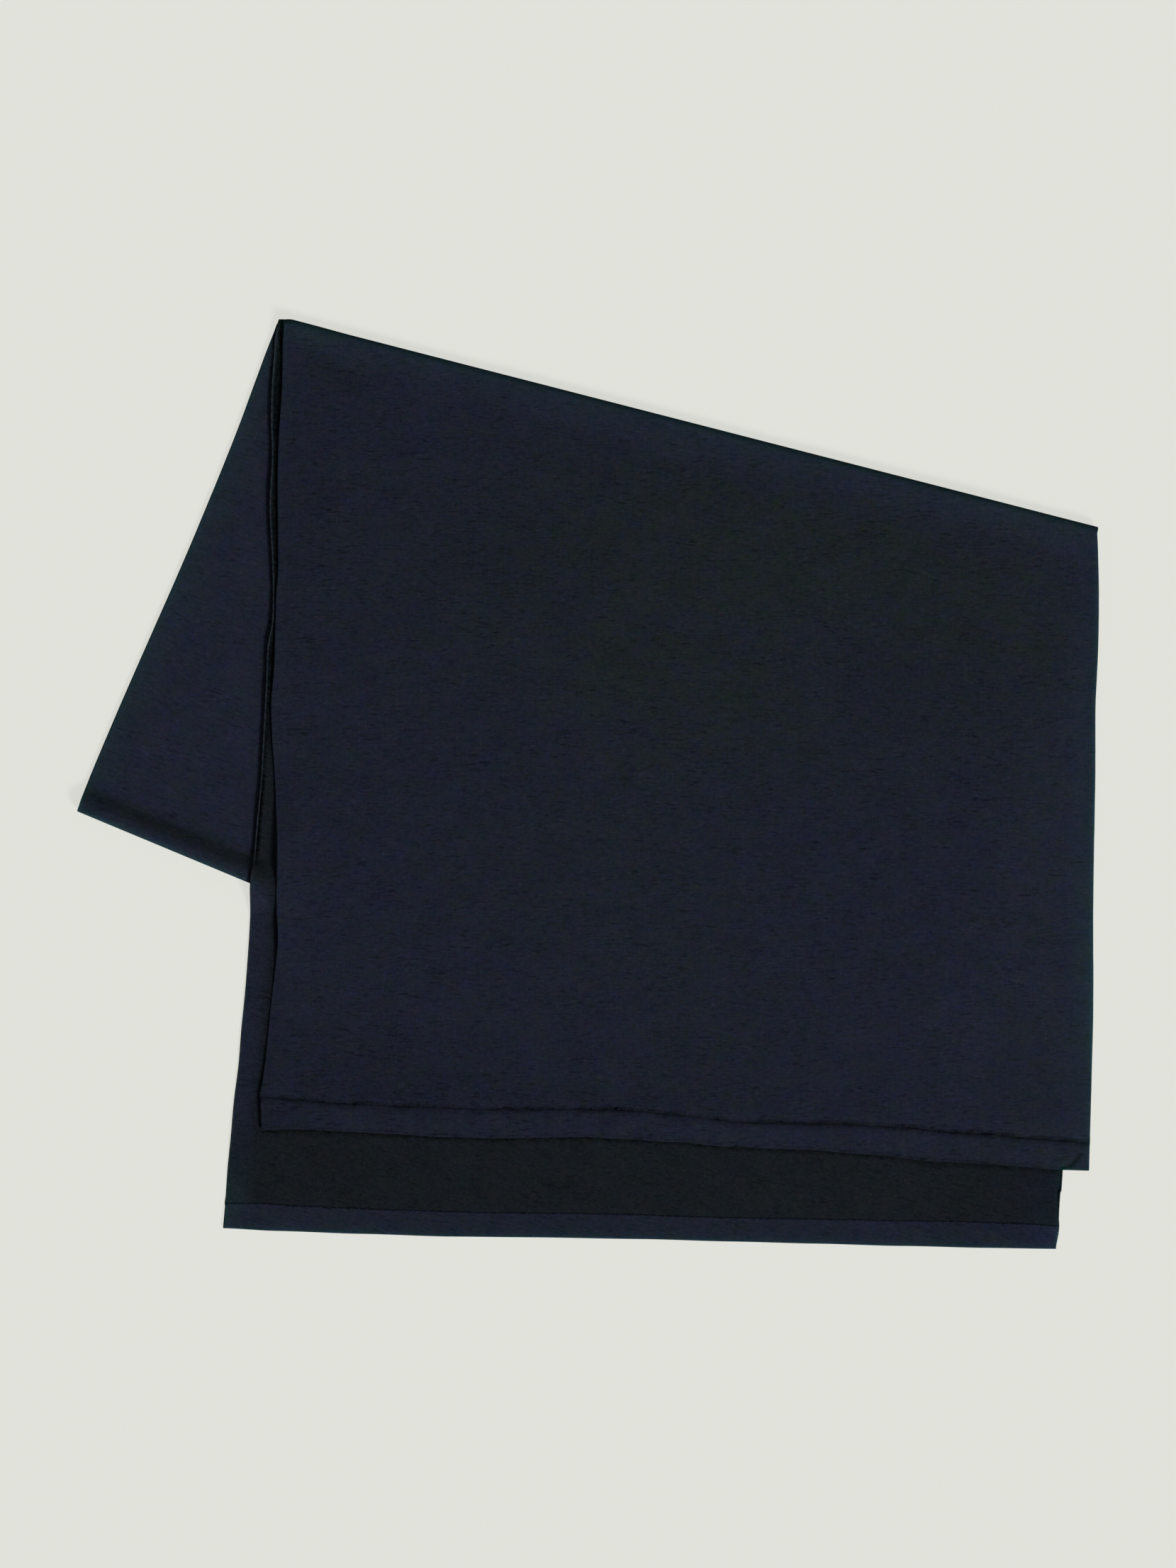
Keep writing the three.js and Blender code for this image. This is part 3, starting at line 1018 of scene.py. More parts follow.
@dataclass
class ScarfCloth:
    """The long strip: both panels and both layers of the flap."""

    stack: Stack
    front_rows: int = 84
    under_rows: int = 22
    upper_rows: int = 44
    back_rows: int = 92
    outer_reach: float = 4.6
    inner_reach: float = 0.9
    ear_reach: float = 3.4
    top_draw: float = 3.5
    end_draw: float = 40.0
    end_overhang: float = 0.35
    groove_depth: float = 0.75
    groove_width: float = 3.6
    seam_insets: tuple[float, ...] = (0.0, 0.6, 1.2, 1.9, 2.8, 4.0, 5.6, 7.8, 10.5)
    fold_insets: tuple[float, ...] = (1.0, 2.5, 4.5)
    roll_insets: tuple[float, ...] = (
        1.5, 3.5, 5.5, 7.5, 9.5, 11.5, 13.5, 15.5, 18.0, 21.5, 26.0, 32.0,
    )  # fmt: skip
    crossing_rows: tuple[float, ...] = (
        388.0, 392.0, 396.0, 400.0, 404.0, 408.0, 412.0, 416.0, 420.0, 426.0,
    )  # fmt: skip
    low_rows: int = 18
    low_rows_start: float = 0.9
    low_rows_step: float = 0.0022
    outer_steps: int = 14
    end_steps: int = 16
    inner_steps: int = 8
    tuck: float = 2.2
    tuck_drop: float = 0.9
    back_tuck: float = 5.0

    def panels(self) -> dict[Layer, Panel]:
        """The four layers.

        Returns:
            Each layer's panel.
        """
        stack = self.stack
        return {
            Layer.FRONT: Panel(
                FRONT_LEFT, FRONT_RIGHT, self.front_height, Side.UP,
                Curl(radius=0.8, turn=0.55, lift=0.25, low_lift=-0.35, lift_width=6.0, seed=1.0),
                Curl(radius=1.3, turn=1.3, lift=0.5, lift_width=7.0, seed=7.0),
            ),
            Layer.UNDER: Panel(
                FLAP_LEFT, FLAP_RIGHT, stack.under_flap, Side.DOWN,
                Curl(radius=0.6, turn=0.5, seed=2.0), Curl(radius=0.6, turn=0.5, seed=3.0),
            ),
            Layer.UPPER: Panel(
                FLAP_LEFT, FLAP_RIGHT, stack.upper_flap, Side.UP,
                Curl(radius=0.9, turn=1.1, seed=4.0), Curl(radius=0.6, turn=0.5, seed=5.0),
            ),
            Layer.BACK: Panel(
                BACK_LEFT, BACK_RIGHT, stack.back_panel, Side.DOWN,
                Curl(radius=0.8, turn=1.75, top_turn=2.1, seed=6.0), Curl(radius=1.2, turn=1.9, seed=8.0),
            ),
        }  # fmt: skip

    def groove_at(self, x: float) -> float:
        """How deep the groove of the front seam is at x."""
        broad, fine = unevenness(x, 0.0, 24.0, 12.0), unevenness(x, 0.0, 8.0, 13.0)
        return self.groove_depth * (1.0 + 0.9 * broad + 0.6 * fine)

    def front_height(self, x: float, y: float) -> float:
        """The front panel's height, with its rise onto the hem and its groove along the seam.

        Args:
            x: where, across the picture.
            y: where, up the picture.

        Returns:
            The height of the middle of its cloth.
        """
        above = y - FRONT_SEAM.y_at(x)
        rise = self.stack.bare_pitch * (1.0 - smooth(above, 3.0, self.stack.hem_rise))
        groove = self.groove_at(x) * math.exp(-((max(above, 0.0) / self.groove_width) ** 1.6))
        pucker = 0.3 * unevenness(x, y * 0.3, 9.0, 15.0) * math.exp(-max(above, 0.0) / 9.0)
        return self.stack.front_panel(x, y) + rise - groove + pucker

    def build(self) -> bpy.types.Object:
        """Makes the strip.

        Returns:
            The cloth's object, without a material.
        """
        panels = self.panels()
        sheet = Sheet("scarf_cloth_sheet")
        front = self.front_lines(panels[Layer.FRONT])
        under = self.flap_lines(panels[Layer.UNDER], self.under_rows, ())
        upper = self.flap_lines(panels[Layer.UPPER], self.upper_rows, self.roll_insets)[::-1]
        back = self.back_lines(panels[Layer.BACK])
        outer = fold_lines(front[-1], under[0], UP_FROM_TOP, self.outer_reach_at, self.outer_steps)
        end = fold_lines(under[-1], upper[0], OUT_OF_END, self.stack.end_reach, self.end_steps)
        inner = fold_lines(upper[-1], back[0], UP_FROM_TOP, self.inner_reach_at, self.inner_steps)
        sheet.add(Layer.FRONT, front)
        sheet.add_fold(Layer.FRONT, Layer.UNDER, outer)
        sheet.add(Layer.UNDER, under)
        sheet.add_fold(Layer.UNDER, Layer.UPPER, end)
        sheet.add(Layer.UPPER, upper)
        sheet.add_fold(Layer.UPPER, Layer.BACK, inner)
        sheet.add(Layer.BACK, back)
        return sheet.build()

    def outer_reach_at(self, x: float, y: float) -> float:
        """How far the top fold bulges: a little more by its left end, whose corner is rounded."""
        fuller = 0.45 * (1.0 - smooth(x, -205.0, -165.0))
        return self.outer_reach + fuller - 1.5 * (1.0 - smooth(x, -218.0, -211.5))

    def inner_reach_at(self, x: float, y: float) -> float:
        """How far the inner top fold bulges: its left end shows as a small ear beside the front panel."""
        return mix(self.ear_reach, self.inner_reach, smooth(x, -220.2, -216.5))

    def drawn_from_top(self, point: Vector) -> Vector:
        """How far a point is drawn in near the top fold, by the fold's depth."""
        share = 1.0 - smooth(TOP_FOLD.past(point.x, point.y), 0.0, 60.0)
        return UP_FROM_TOP * (-self.top_draw * share)

    def drawn_from_folds(self, point: Vector) -> Vector:
        """How far a point of the flap is drawn in near both of its folds.

        Args:
            point: the point.

        Returns:
            The move, in the plane of the picture.
        """
        share = 1.0 - smooth(-END_FOLD.past(point.x, point.y), 0.0, self.end_draw)
        depth = (self.stack.end_reach(point.x, point.y) + HALF_CLOTH - self.end_overhang) * share
        return self.drawn_from_top(point) - OUT_OF_END * depth

    def front_lines(self, panel: Panel) -> list[Line]:
        """The front panel's rows, from the seam up to the top fold.

        Args:
            panel: the layer.

        Returns:
            The rows.
        """
        left_length = panel.left.lengths()[-1]
        bend = SeamBend(panel, FRONT_SEAM, start=-235.9, width=596.9, reach=70.0)
        tucked = panel.line(1.0, 0.0, lambda x, y: bend.shift(x, y) - self.tuck, drop=self.tuck_drop)
        shares = [1.0 - inset / left_length for inset in self.seam_insets]
        last = shares[-1]
        shares += [last * (1.0 - step / self.front_rows) for step in range(1, self.front_rows)]
        shares += [inset / left_length for inset in reversed((0.0, *self.fold_insets))]
        lines = [tucked]
        for share in shares:
            from_seam = (1.0 - share) * left_length
            from_fold = share * left_length
            curl = smooth(from_seam, 0.0, 12.0) * smooth(from_fold, 4.0, 40.0)
            lines.append(panel.line(share, curl, bend.shift, drawn_in=self.drawn_from_top))
        return lines

    def flap_lines(self, panel: Panel, rows: int, insets: Sequence[float]) -> list[Line]:
        """A flap layer's rows, from the top fold down to the end fold.

        Args:
            panel: the layer.
            rows: how many rows there are.
            insets: further rows, as distances from the end fold.

        Returns:
            The rows.
        """
        length = panel.left.lengths()[-1]
        even = {step / rows for step in range(rows + 1)}
        shares = sorted(even | {1.0 - inset / length for inset in insets})
        lines = []
        for share in shares:
            from_fold, from_end = share * length, (1.0 - share) * length
            curl = smooth(from_fold, 6.0, 45.0) * smooth(from_end, 2.0, 25.0)
            lines.append(panel.line(share, curl, drawn_in=self.drawn_from_folds))
        return lines

    def back_lines(self, panel: Panel) -> list[Line]:
        """The back panel's rows, from the top fold down to below the seam.

        Args:
            panel: the layer.

        Returns:
            The rows.
        """
        left_length = panel.left.lengths()[-1]
        bend = SeamBend(panel, BACK_SEAM, start=-260.4, width=599.4, reach=40.0)
        shares = sorted(
            {step / self.back_rows for step in range(self.back_rows + 1)}
            | {length / left_length for length in self.crossing_rows}
            | {self.low_rows_start + self.low_rows_step * step for step in range(self.low_rows)}
        )
        lines = []
        for share in shares:
            from_fold = share * left_length
            from_seam = (1.0 - share) * left_length
            curl = smooth(from_fold, 8.0, 45.0) * smooth(from_seam, 2.0, 30.0)
            lines.append(panel.line(share, curl, bend.shift, drawn_in=self.drawn_from_top))
        lines.append(panel.line(1.0, 0.0, lambda x, y: bend.shift(x, y) - self.back_tuck))
        return lines


@dataclass
class HemBand:
    """A hem: the end of the strip, turned over and stitched down along its seam."""

    name: str
    seam: Path
    end: Path
    lower: Callable[[float, float], float]
    upper: Callable[[float, float], float]
    layer: Layer
    fold_reach: float = 1.0
    rows: int = 12
    columns: int = 300
    lower_start: float = 0.3
    upper_start: float = 0.3
    fold_steps: int = 8

    def line(self, share: float, start: float, height: Callable[[float, float], float]) -> Line:
        """One row along the hem.

        Args:
            share: how far from the seam to the turned end, from 0 to 1.
            start: how far below the seam the first row is.
            height: the height at x, y.

        Returns:
            The row.
        """
        places = []
        for column in range(self.columns + 1):
            across = column / self.columns
            seam, end = self.seam.at(across), self.end.at(across)
            top = self.seam.y_at(seam.x) - start
            bottom = self.end.y_at(end.x) + self.fold_reach + HALF_CLOTH
            x, y = mix(seam.x, end.x, share), mix(top, bottom, share)
            places.append(Vector((x, y, height(x, y))))
        return Line(places)

    def build(self) -> bpy.types.Object:
        """Makes the band as one strip, turned over at the hem's end.

        Returns:
            The band's object, without a material.
        """
        shares = [step / self.rows for step in range(self.rows + 1)]
        lower = [self.line(share, self.lower_start, self.lower) for share in shares]
        upper = [self.line(share, self.upper_start, self.upper) for share in reversed(shares)]
        turned = fold_lines(lower[-1], upper[0], -ACROSS_HEM, lambda x, y: self.fold_reach, self.fold_steps)
        sheet = Sheet(self.name)
        sheet.add(self.layer, [*lower, *turned, *upper])
        return sheet.build()


class Graph:
    """A node tree that is being filled."""

    def __init__(self, tree: bpy.types.NodeTree) -> None:
        """Starts on a tree."""
        self.tree = tree

    def add(self, kind: str, **settings: object) -> bpy.types.Node:
        """Adds a node and sets its properties.

        Args:
            kind: the node's type.
            settings: its properties, by name.

        Returns:
            The node.
        """
        node = self.tree.nodes.new(kind)
        for name, value in settings.items():
            setattr(node, name, value)
        return node

    def feed(self, socket: bpy.types.NodeSocket, value: object) -> None:
        """Links a socket, or sets its value.

        Args:
            socket: the input.
            value: a socket to link, or a plain value.
        """
        if isinstance(value, bpy.types.NodeSocket):
            self.tree.links.new(value, socket)
        else:
            socket.default_value = value

    def math(self, operation: str, *values: object) -> bpy.types.NodeSocket:
        """A Math node's result.

        Args:
            operation: what it does.
            values: its inputs, in order.

        Returns:
            The result.
        """
        node = self.add("ShaderNodeMath", operation=operation)
        for socket, value in zip(node.inputs, values):
            self.feed(socket, value)
        return node.outputs[0]

    def vector_math(self, operation: str, a: object, b: object) -> bpy.types.NodeSocket:
        """A Vector Math node's result.

        Args:
            operation: what it does.
            a: the first vector.
            b: the second vector, or the scale.

        Returns:
            The result.
        """
        node = self.add("ShaderNodeVectorMath", operation=operation)
        self.feed(node.inputs[0], a)
        self.feed(node.inputs["Scale"] if operation == "SCALE" else node.inputs[1], b)
        return node.outputs[0]

    def stretched(
        self, vector: object, sizes: tuple[float, float], start: float = 0.0
    ) -> bpy.types.NodeSocket:
        """A place on the flat cloth, in cells of the given size in millimetres.

        Args:
            vector: the place, in metres.
            sizes: a cell's width and length.
            start: moves the pattern, in cells.

        Returns:
            The place in cells.
        """
        node = self.add("ShaderNodeMapping")
        self.feed(node.inputs["Vector"], vector)
        node.inputs["Scale"].default_value = (1.0 / (sizes[0] * MM), 1.0 / (sizes[1] * MM), 1.0)
        node.inputs["Location"].default_value = (start, start * 0.7, start * 1.3)
        return node.outputs[0]

    def noise(
        self, vector: object, sizes: tuple[float, float], start: float = 0.0, detail: float = 2.0
    ) -> bpy.types.NodeSocket:
        """Noise around 0, about -0.5 to 0.5, in cells of the given size.

        Args:
            vector: the place, in metres.
            sizes: a cell's width and length, in millimetres.
            start: moves the pattern, in cells.
            detail: how many finer layers of noise there are.

        Returns:
            The noise.
        """
        node = self.add("ShaderNodeTexNoise")
        self.feed(node.inputs["Vector"], self.stretched(vector, sizes, start))
        node.inputs["Scale"].default_value = 1.0
        node.inputs["Detail"].default_value = detail
        return self.math("SUBTRACT", node.outputs[0], 0.5)

    def span(
        self, value: object, low: float, high: float, start: float = 0.0, end: float = 1.0
    ) -> bpy.types.NodeSocket:
        """A value taken from one range to another, and kept inside it.

        Args:
            value: the value.
            low: where the first range starts.
            high: where it ends.
            start: where the second range starts.
            end: where it ends.

        Returns:
            The value in the second range.
        """
        node = self.add("ShaderNodeMapRange", clamp=True)
        for socket, given in zip(node.inputs, (value, low, high, start, end)):
            self.feed(socket, given)
        return node.outputs[0]

    def blend(self, share: object, a: object, b: object) -> bpy.types.NodeSocket:
        """A colour between two.

        Args:
            share: how much of the second colour there is.
            a: the first colour.
            b: the second.

        Returns:
            The colour.
        """
        node = self.add("ShaderNodeMix", data_type="RGBA")
        for name, value in (("Factor_Float", share), ("A_Color", a), ("B_Color", b)):
            self.feed(next(socket for socket in node.inputs if socket.identifier == name), value)
        return next(socket for socket in node.outputs if socket.identifier == "Result_Color")

    def attribute(self, name: str) -> bpy.types.NodeSocket:
        """The value of one of the mesh's own attributes."""
        return self.add("ShaderNodeAttribute", attribute_name=name).outputs["Fac"]

    def total(self, *values: object) -> bpy.types.NodeSocket:
        """The sum of several values.

        Args:
            values: the values.

        Returns:
            The sum.
        """
        result = values[0]
        for value in values[1:]:
            result = self.math("ADD", result, value)
        return result

    def weighed(self, value: object, weight: object) -> bpy.types.NodeSocket:
        """A value times a weight."""
        return self.math("MULTIPLY", value, weight)


def new_material(name: str) -> tuple[bpy.types.Material, Graph, bpy.types.Node]:
    """A new material.

    Args:
        name: the material's name.

    Returns:
        The material, its node tree and its shader.
    """
    material = bpy.data.materials.new(name)
    material.use_nodes = True
    return material, Graph(material.node_tree), material.node_tree.nodes["Principled BSDF"]


def new_group(
    name: str, inputs: Sequence[tuple[str, str]], outputs: Sequence[tuple[str, str]]
) -> bpy.types.NodeTree:
    """An empty shader node group.

    Args:
        name: the group's name.
        inputs: the name and kind of each input.
        outputs: the name and kind of each output.

    Returns:
        The group.
    """
    group = bpy.data.node_groups.new(name, "ShaderNodeTree")
    for title, kind in inputs:
        group.interface.new_socket(name=title, in_out="INPUT", socket_type=f"NodeSocket{kind}")
    for title, kind in outputs:
        group.interface.new_socket(name=title, in_out="OUTPUT", socket_type=f"NodeSocket{kind}")
    return group


@dataclass(frozen=True)
class KnitPattern:
    """The stitches of a fine jersey, as a height from 0 to 1."""

    name: str
    purl: bool
    wale_pitch: float = 1.22
    course_pitch: float = 0.95

    def build(self) -> bpy.types.NodeTree:
        """Makes the node group.

        Returns:
            The group, from a place on the flat cloth to a height.
        """
        group = new_group(self.name, [("Place", "Vector")], [("Height", "Float")])
        graph = Graph(group)
        place = graph.add("NodeGroupInput").outputs[0]
        parts = graph.add("ShaderNodeSeparateXYZ")
        graph.feed(parts.inputs[0], place)
        drift = graph.noise(place, (7.0, 26.0), 3.0)
        column, course = (
            graph.math("MULTIPLY_ADD", part, 1.0 / (pitch * MM), graph.weighed(drift, sway))
            for part, pitch, sway in (
                (parts.outputs[0], self.wale_pitch, 1.1),
                (parts.outputs[1], self.course_pitch, 0.9),
            )
        )
        side = graph.math("ABSOLUTE", graph.math("SUBTRACT", graph.math("FRACT", column), 0.5))
        ridge = graph.math("SUBTRACT", 1.0, graph.weighed(graph.weighed(side, side), 4.0))
        if self.purl:
            arc = graph.math("MULTIPLY_ADD", ridge, 0.35, course)
            wave = graph.math("SINE", graph.weighed(arc, 2 * math.pi))
            height = graph.math("MULTIPLY_ADD", wave, 0.38, graph.math("MULTIPLY_ADD", ridge, 0.14, 0.43))
        else:
            legs = graph.math("MULTIPLY_ADD", side, 1.5, course)
            wave = graph.math("SINE", graph.weighed(legs, 2 * math.pi))
            height = graph.weighed(ridge, graph.math("MULTIPLY_ADD", wave, 0.24, 0.76))
        out = graph.add("NodeGroupOutput")
        graph.feed(out.inputs[0], height)
        return group


@dataclass(frozen=True)
class YarnGrain:
    """Slubs along the courses, mottling and loose fibres, as shade and hue."""

    name: str = "yarn grain"

    def build(self) -> bpy.types.NodeTree:
        """Makes the node group.

        Returns:
            The group, from a place on the flat cloth to shade and hue values around 0.
        """
        outputs = [(name, "Float") for name in ("Slubs", "Mottling", "Warmth", "Blueness", "Fibres")]
        group = new_group(self.name, [("Place", "Vector")], outputs)
        graph = Graph(group)
        place = graph.add("NodeGroupInput").outputs[0]
        dark = graph.span(graph.noise(place, (7.2, 1.4), 1.0, 3.0), 0.02, 0.24)
        light = graph.span(graph.noise(place, (4.4, 1.4), 9.0, 3.0), 0.05, 0.30)
        patchy = graph.span(graph.noise(place, (16.0, 12.0), 5.0), -0.2, 0.2, 0.35, 1.0)
        slubs = graph.weighed(graph.math("SUBTRACT", light, dark), patchy)
        cells = graph.noise(place, (2.1, 1.8), 2.0, 3.0)
        broad = graph.noise(place, (26.0, 17.0), 6.0, 3.0)
        mottling = graph.total(graph.weighed(cells, 0.8), graph.weighed(broad, 0.35))
        warmth = graph.total(
            graph.weighed(graph.noise(place, (2.6, 2.2), 12.0), 0.7),
            graph.weighed(graph.noise(place, (9.0, 8.0), 14.0), 0.5),
        )
        blueness = graph.total(
            graph.weighed(graph.noise(place, (3.2, 2.6), 16.0), 0.7),
            graph.weighed(graph.noise(place, (11.0, 9.0), 18.0, 3.0), 0.8),
        )
        cell = graph.add("ShaderNodeTexVoronoi", feature="F1")
        graph.feed(cell.inputs["Vector"], graph.stretched(place, (3.4, 2.6), 20.0))
        cell.inputs["Scale"].default_value = 1.0
        chosen = graph.add("ShaderNodeSeparateXYZ")
        graph.feed(chosen.inputs[0], cell.outputs["Color"])
        near = graph.span(cell.outputs["Distance"], 0.10, 0.26, 1.0, 0.0)
        fibres = graph.weighed(near, graph.math("GREATER_THAN", chosen.outputs[0], 0.9))
        out = graph.add("NodeGroupOutput")
        for socket, value in zip(out.inputs, (slubs, mottling, warmth, blueness, fibres)):
            graph.feed(socket, value)
        return group


@dataclass(frozen=True)
class EdgeLight:
    """A painted highlight along an edge, standing in for the pale light that the fuzz catches there."""

    name: str = "painted highlight along edges"

    def build(self) -> bpy.types.NodeTree:
        """Makes the node group.

        Returns:
            The group, from a colour and how near the edge is to the colour with the painted highlight
            added.
        """
        inputs = [("Colour", "Color"), ("Nearness", "Float"), ("Close", "Float"), ("Broad", "Float")]
        group = new_group(self.name, inputs, [("Colour", "Color")])
        graph = Graph(group)
        given = graph.add("NodeGroupInput").outputs
        near = graph.span(given[1], 0.0, 1.0)
        narrow = graph.weighed(graph.math("POWER", near, 19.0), given[2])
        wide = graph.weighed(graph.span(near, 0.45, 0.80), given[3])
        # The colours of the painted highlight, close to the edge and broadly
        close = graph.vector_math("SCALE", (-0.0012, 0.0170, 0.0125), narrow)
        broad = graph.vector_math("SCALE", (0.0009, 0.0047, 0.0030), wide)
        out = graph.add("NodeGroupOutput")
        glow = graph.vector_math("ADD", close, broad)
        graph.feed(out.inputs[0], graph.vector_math("ADD", given[0], glow))
        return group


@dataclass(frozen=True)
class JerseyFace:
    """One face of the jersey: its colours and how strongly its knit and grain show."""

    name: str
    blue: tuple[float, float, float]
    green: tuple[float, float, float]
    knit_shade: float
    slub_shade: float
    mottle_shade: float
    hue_shift: float = 1.0
    middle_hue: float = 0.46
    edge: bool = True
    margin_blue: tuple[float, float, float] | None = None
    greener_hue: float = 0.35
    # crease_hue tints the painted crease shade greener, and crease_shade is how dark that painted shade is
    crease_hue: float = 0.12
    crease_shade: float = -0.5
    fibre_shade: float = 0.35
    warmth: float = 0.95
    knit_middle: float = 0.45
    roughness: float = 0.93
    shine: float = 0.01
    relief_strength: float = 0.22
    relief_depth: float = 0.25

    def build(
        self, knit: bpy.types.NodeTree, grain: bpy.types.NodeTree, edge: bpy.types.NodeTree
    ) -> bpy.types.Material:
        """Makes the material.

        Args:
            knit: the stitch pattern's node group.
            grain: the yarn grain's node group.
            edge: the edge light's node group.

        Returns:
            The material.
        """
        material, graph, shader = new_material(self.name)
        place = graph.add("ShaderNodeUVMap", uv_map="flat_cloth").outputs[0]
        stitches = graph.add("ShaderNodeGroup", node_tree=knit)
        yarn = graph.add("ShaderNodeGroup", node_tree=grain)
        for node in (stitches, yarn):
            graph.feed(node.inputs[0], place)
        height = stitches.outputs["Height"]
        slubs, mottling = yarn.outputs["Slubs"], yarn.outputs["Mottling"]

        patchy = graph.total(
            1.0,
            graph.weighed(graph.noise(place, (60.0, 45.0), 30.0, 3.0), 1.2),
            graph.weighed(graph.noise(place, (14.0, 11.0), 34.0, 3.0), 1.1),
        )
        # The hue is greener where the greener attribute says, and greener in the painted crease shade
        hue = graph.total(
            graph.weighed(graph.weighed(graph.attribute("greener"), patchy), self.greener_hue),
            self.middle_hue,
            graph.weighed(yarn.outputs["Blueness"], self.hue_shift),
            graph.weighed(graph.attribute("crease"), self.crease_hue),
        )
        colour = graph.blend(graph.span(hue, 0.0, 1.0), (*self.blue, 1.0), (*self.green, 1.0))
        if self.margin_blue:
            margin = graph.span(graph.attribute("bluer_margin"), 0.0, 1.0)
            colour = graph.blend(margin, colour, (*self.margin_blue, 1.0))
        red = graph.math("MULTIPLY_ADD", yarn.outputs["Warmth"], self.warmth, 1.0)
        channels = graph.add("ShaderNodeCombineXYZ")
        for socket, value in zip(channels.inputs, (red, 1.0, 1.0)):
            graph.feed(socket, value)
        colour = graph.vector_math("MULTIPLY", colour, channels.outputs[0])
        broken = graph.span(graph.noise(place, (9.0, 3.0), 50.0, 3.0), -0.22, 0.10, 0.45, 1.0)
        # The shade adds the tone with its painted shade and highlights, the painted crease shade, and the
        # yarn's grain
        shade = graph.total(
            1.0,
            graph.attribute("tone_and_painted_light"),
            graph.weighed(graph.weighed(graph.attribute("crease"), broken), self.crease_shade),
            graph.weighed(slubs, self.slub_shade),
            graph.weighed(mottling, self.mottle_shade),
            graph.weighed(graph.math("SUBTRACT", height, self.knit_middle), self.knit_shade),
            graph.weighed(yarn.outputs["Fibres"], self.fibre_shade),
        )
        colour = graph.vector_math("SCALE", colour, shade)
        # Painted highlight along the edges, standing in for the light that the fuzz catches
        if self.edge:
            glow = graph.add("ShaderNodeGroup", node_tree=edge)
            graph.feed(glow.inputs[0], colour)
            for socket, name in zip(glow.inputs[1:], SHADING[:3]):
                graph.feed(socket, graph.attribute(name))
            colour = glow.outputs[0]
        graph.feed(shader.inputs["Base Color"], colour)
        roughness = graph.math("MULTIPLY_ADD", mottling, 0.08, self.roughness)
        graph.feed(shader.inputs["Roughness"], roughness)
        shader.inputs["Specular IOR Level"].default_value = self.shine
        relief = graph.total(height, graph.weighed(slubs, 0.5), graph.weighed(mottling, 0.5))
        bump = graph.add("ShaderNodeBump")
        bump.inputs["Strength"].default_value = self.relief_strength
        bump.inputs["Distance"].default_value = self.relief_depth * MM
        graph.feed(bump.inputs["Height"], relief)
        graph.feed(shader.inputs["Normal"], bump.outputs[0])
        return material


@dataclass
class Studio:
    """The camera straight above, the soft light and the pale floor."""

    view_height: float = 1129.5
    lens: float = 85.0
    sensor: float = 36.0
    ground: tuple[float, float, float] = (0.753, 0.761, 0.708)
    sun_azimuth: float = -54.0
    sun_height: float = 30.0
    direct_share: float = 0.72
    sun_size: float = 16.0
    floor_share: float = 0.14

    def build(self) -> None:
        """Makes the camera, the world, the light and the floor."""
        scene = bpy.context.scene
        scene.view_settings.view_transform = "Standard"
        scene.view_settings.look = "None"
        camera = bpy.data.cameras.new("camera above")
        camera.lens = self.lens
        camera.sensor_fit = "VERTICAL"
        camera.sensor_height = self.sensor
        camera.clip_end = 20.0
        eye = bpy.data.objects.new("camera above", camera)
        eye.location = (0.0, 0.0, self.lens / self.sensor * self.view_height * MM)
        scene.collection.objects.link(eye)
        scene.camera = eye
        self.build_world()
        self.build_light()
        self.build_floor()

    def build_world(self) -> None:
        """Makes the soft light from all round, behind a plain pale backdrop."""
        world = bpy.data.worlds.new("soft room")
        world.use_nodes = True
        graph = Graph(world.node_tree)
        background = world.node_tree.nodes["Background"]
        seen = graph.add("ShaderNodeLightPath").outputs["Is Camera Ray"]
        graph.feed(background.inputs["Color"], graph.blend(seen, (1.0, 1.0, 1.0, 1.0), (*self.ground, 1.0)))
        graph.feed(background.inputs["Strength"], graph.span(seen, 0.0, 1.0, 1.0 - self.direct_share, 1.0))
        bpy.context.scene.world = world

    def build_light(self) -> None:
        """Makes the large soft key light, low and from the near right."""
        light = bpy.data.lights.new("key light", "SUN")
        light.angle = math.radians(self.sun_size)
        light.energy = self.direct_share * math.pi / math.sin(math.radians(self.sun_height))
        lamp = bpy.data.objects.new("key light", light)
        azimuth, height = math.radians(self.sun_azimuth), math.radians(self.sun_height)
        level = math.cos(height)
        towards = Vector((math.cos(azimuth) * level, math.sin(azimuth) * level, math.sin(height)))
        lamp.location = towards * 2.0
        lamp.rotation_euler = towards.to_track_quat("Z", "Y").to_euler()
        bpy.context.scene.collection.objects.link(lamp)

    def build_floor(self) -> None:
        """Makes the pale floor, which mostly gives its own even light."""
        mesh = bpy.data.meshes.new("floor")
        bm = bmesh.new()
        bmesh.ops.create_grid(bm, x_segments=1, y_segments=1, size=8.0)
        bm.to_mesh(mesh)
        bm.free()
        floor = bpy.data.objects.new("floor", mesh)
        bpy.context.scene.collection.objects.link(floor)
        material, _, shader = new_material("pale floor")
        diffuse = tuple(channel * self.floor_share for channel in self.ground)
        glow = tuple(channel * (1.0 - self.floor_share) for channel in self.ground)
        shader.inputs["Base Color"].default_value = (*diffuse, 1.0)
        shader.inputs["Roughness"].default_value = 1.0
        shader.inputs["Specular IOR Level"].default_value = 0.0
        shader.inputs["Emission Color"].default_value = (*glow, 1.0)
        shader.inputs["Emission Strength"].default_value = 1.0
        mesh.materials.append(material)


def dress(piece: bpy.types.Object, finishes: Sequence[bpy.types.Material], slot: Slot, *nodes: str) -> None:
    """Gives a piece its finishes and its place in the frame.

    Args:
        piece: the piece.
        finishes: its materials, in the order of its slots.
        slot: the record's slot for the piece; it is not used.
        nodes: the CAD nodes that it stands for.
    """
    for finish in finishes:
        piece.data.materials.append(finish)
    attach(piece, "root")
    if nodes:
        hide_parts(*nodes)
    LOG.info("%s: %d faces", piece.name, len(piece.data.polygons))


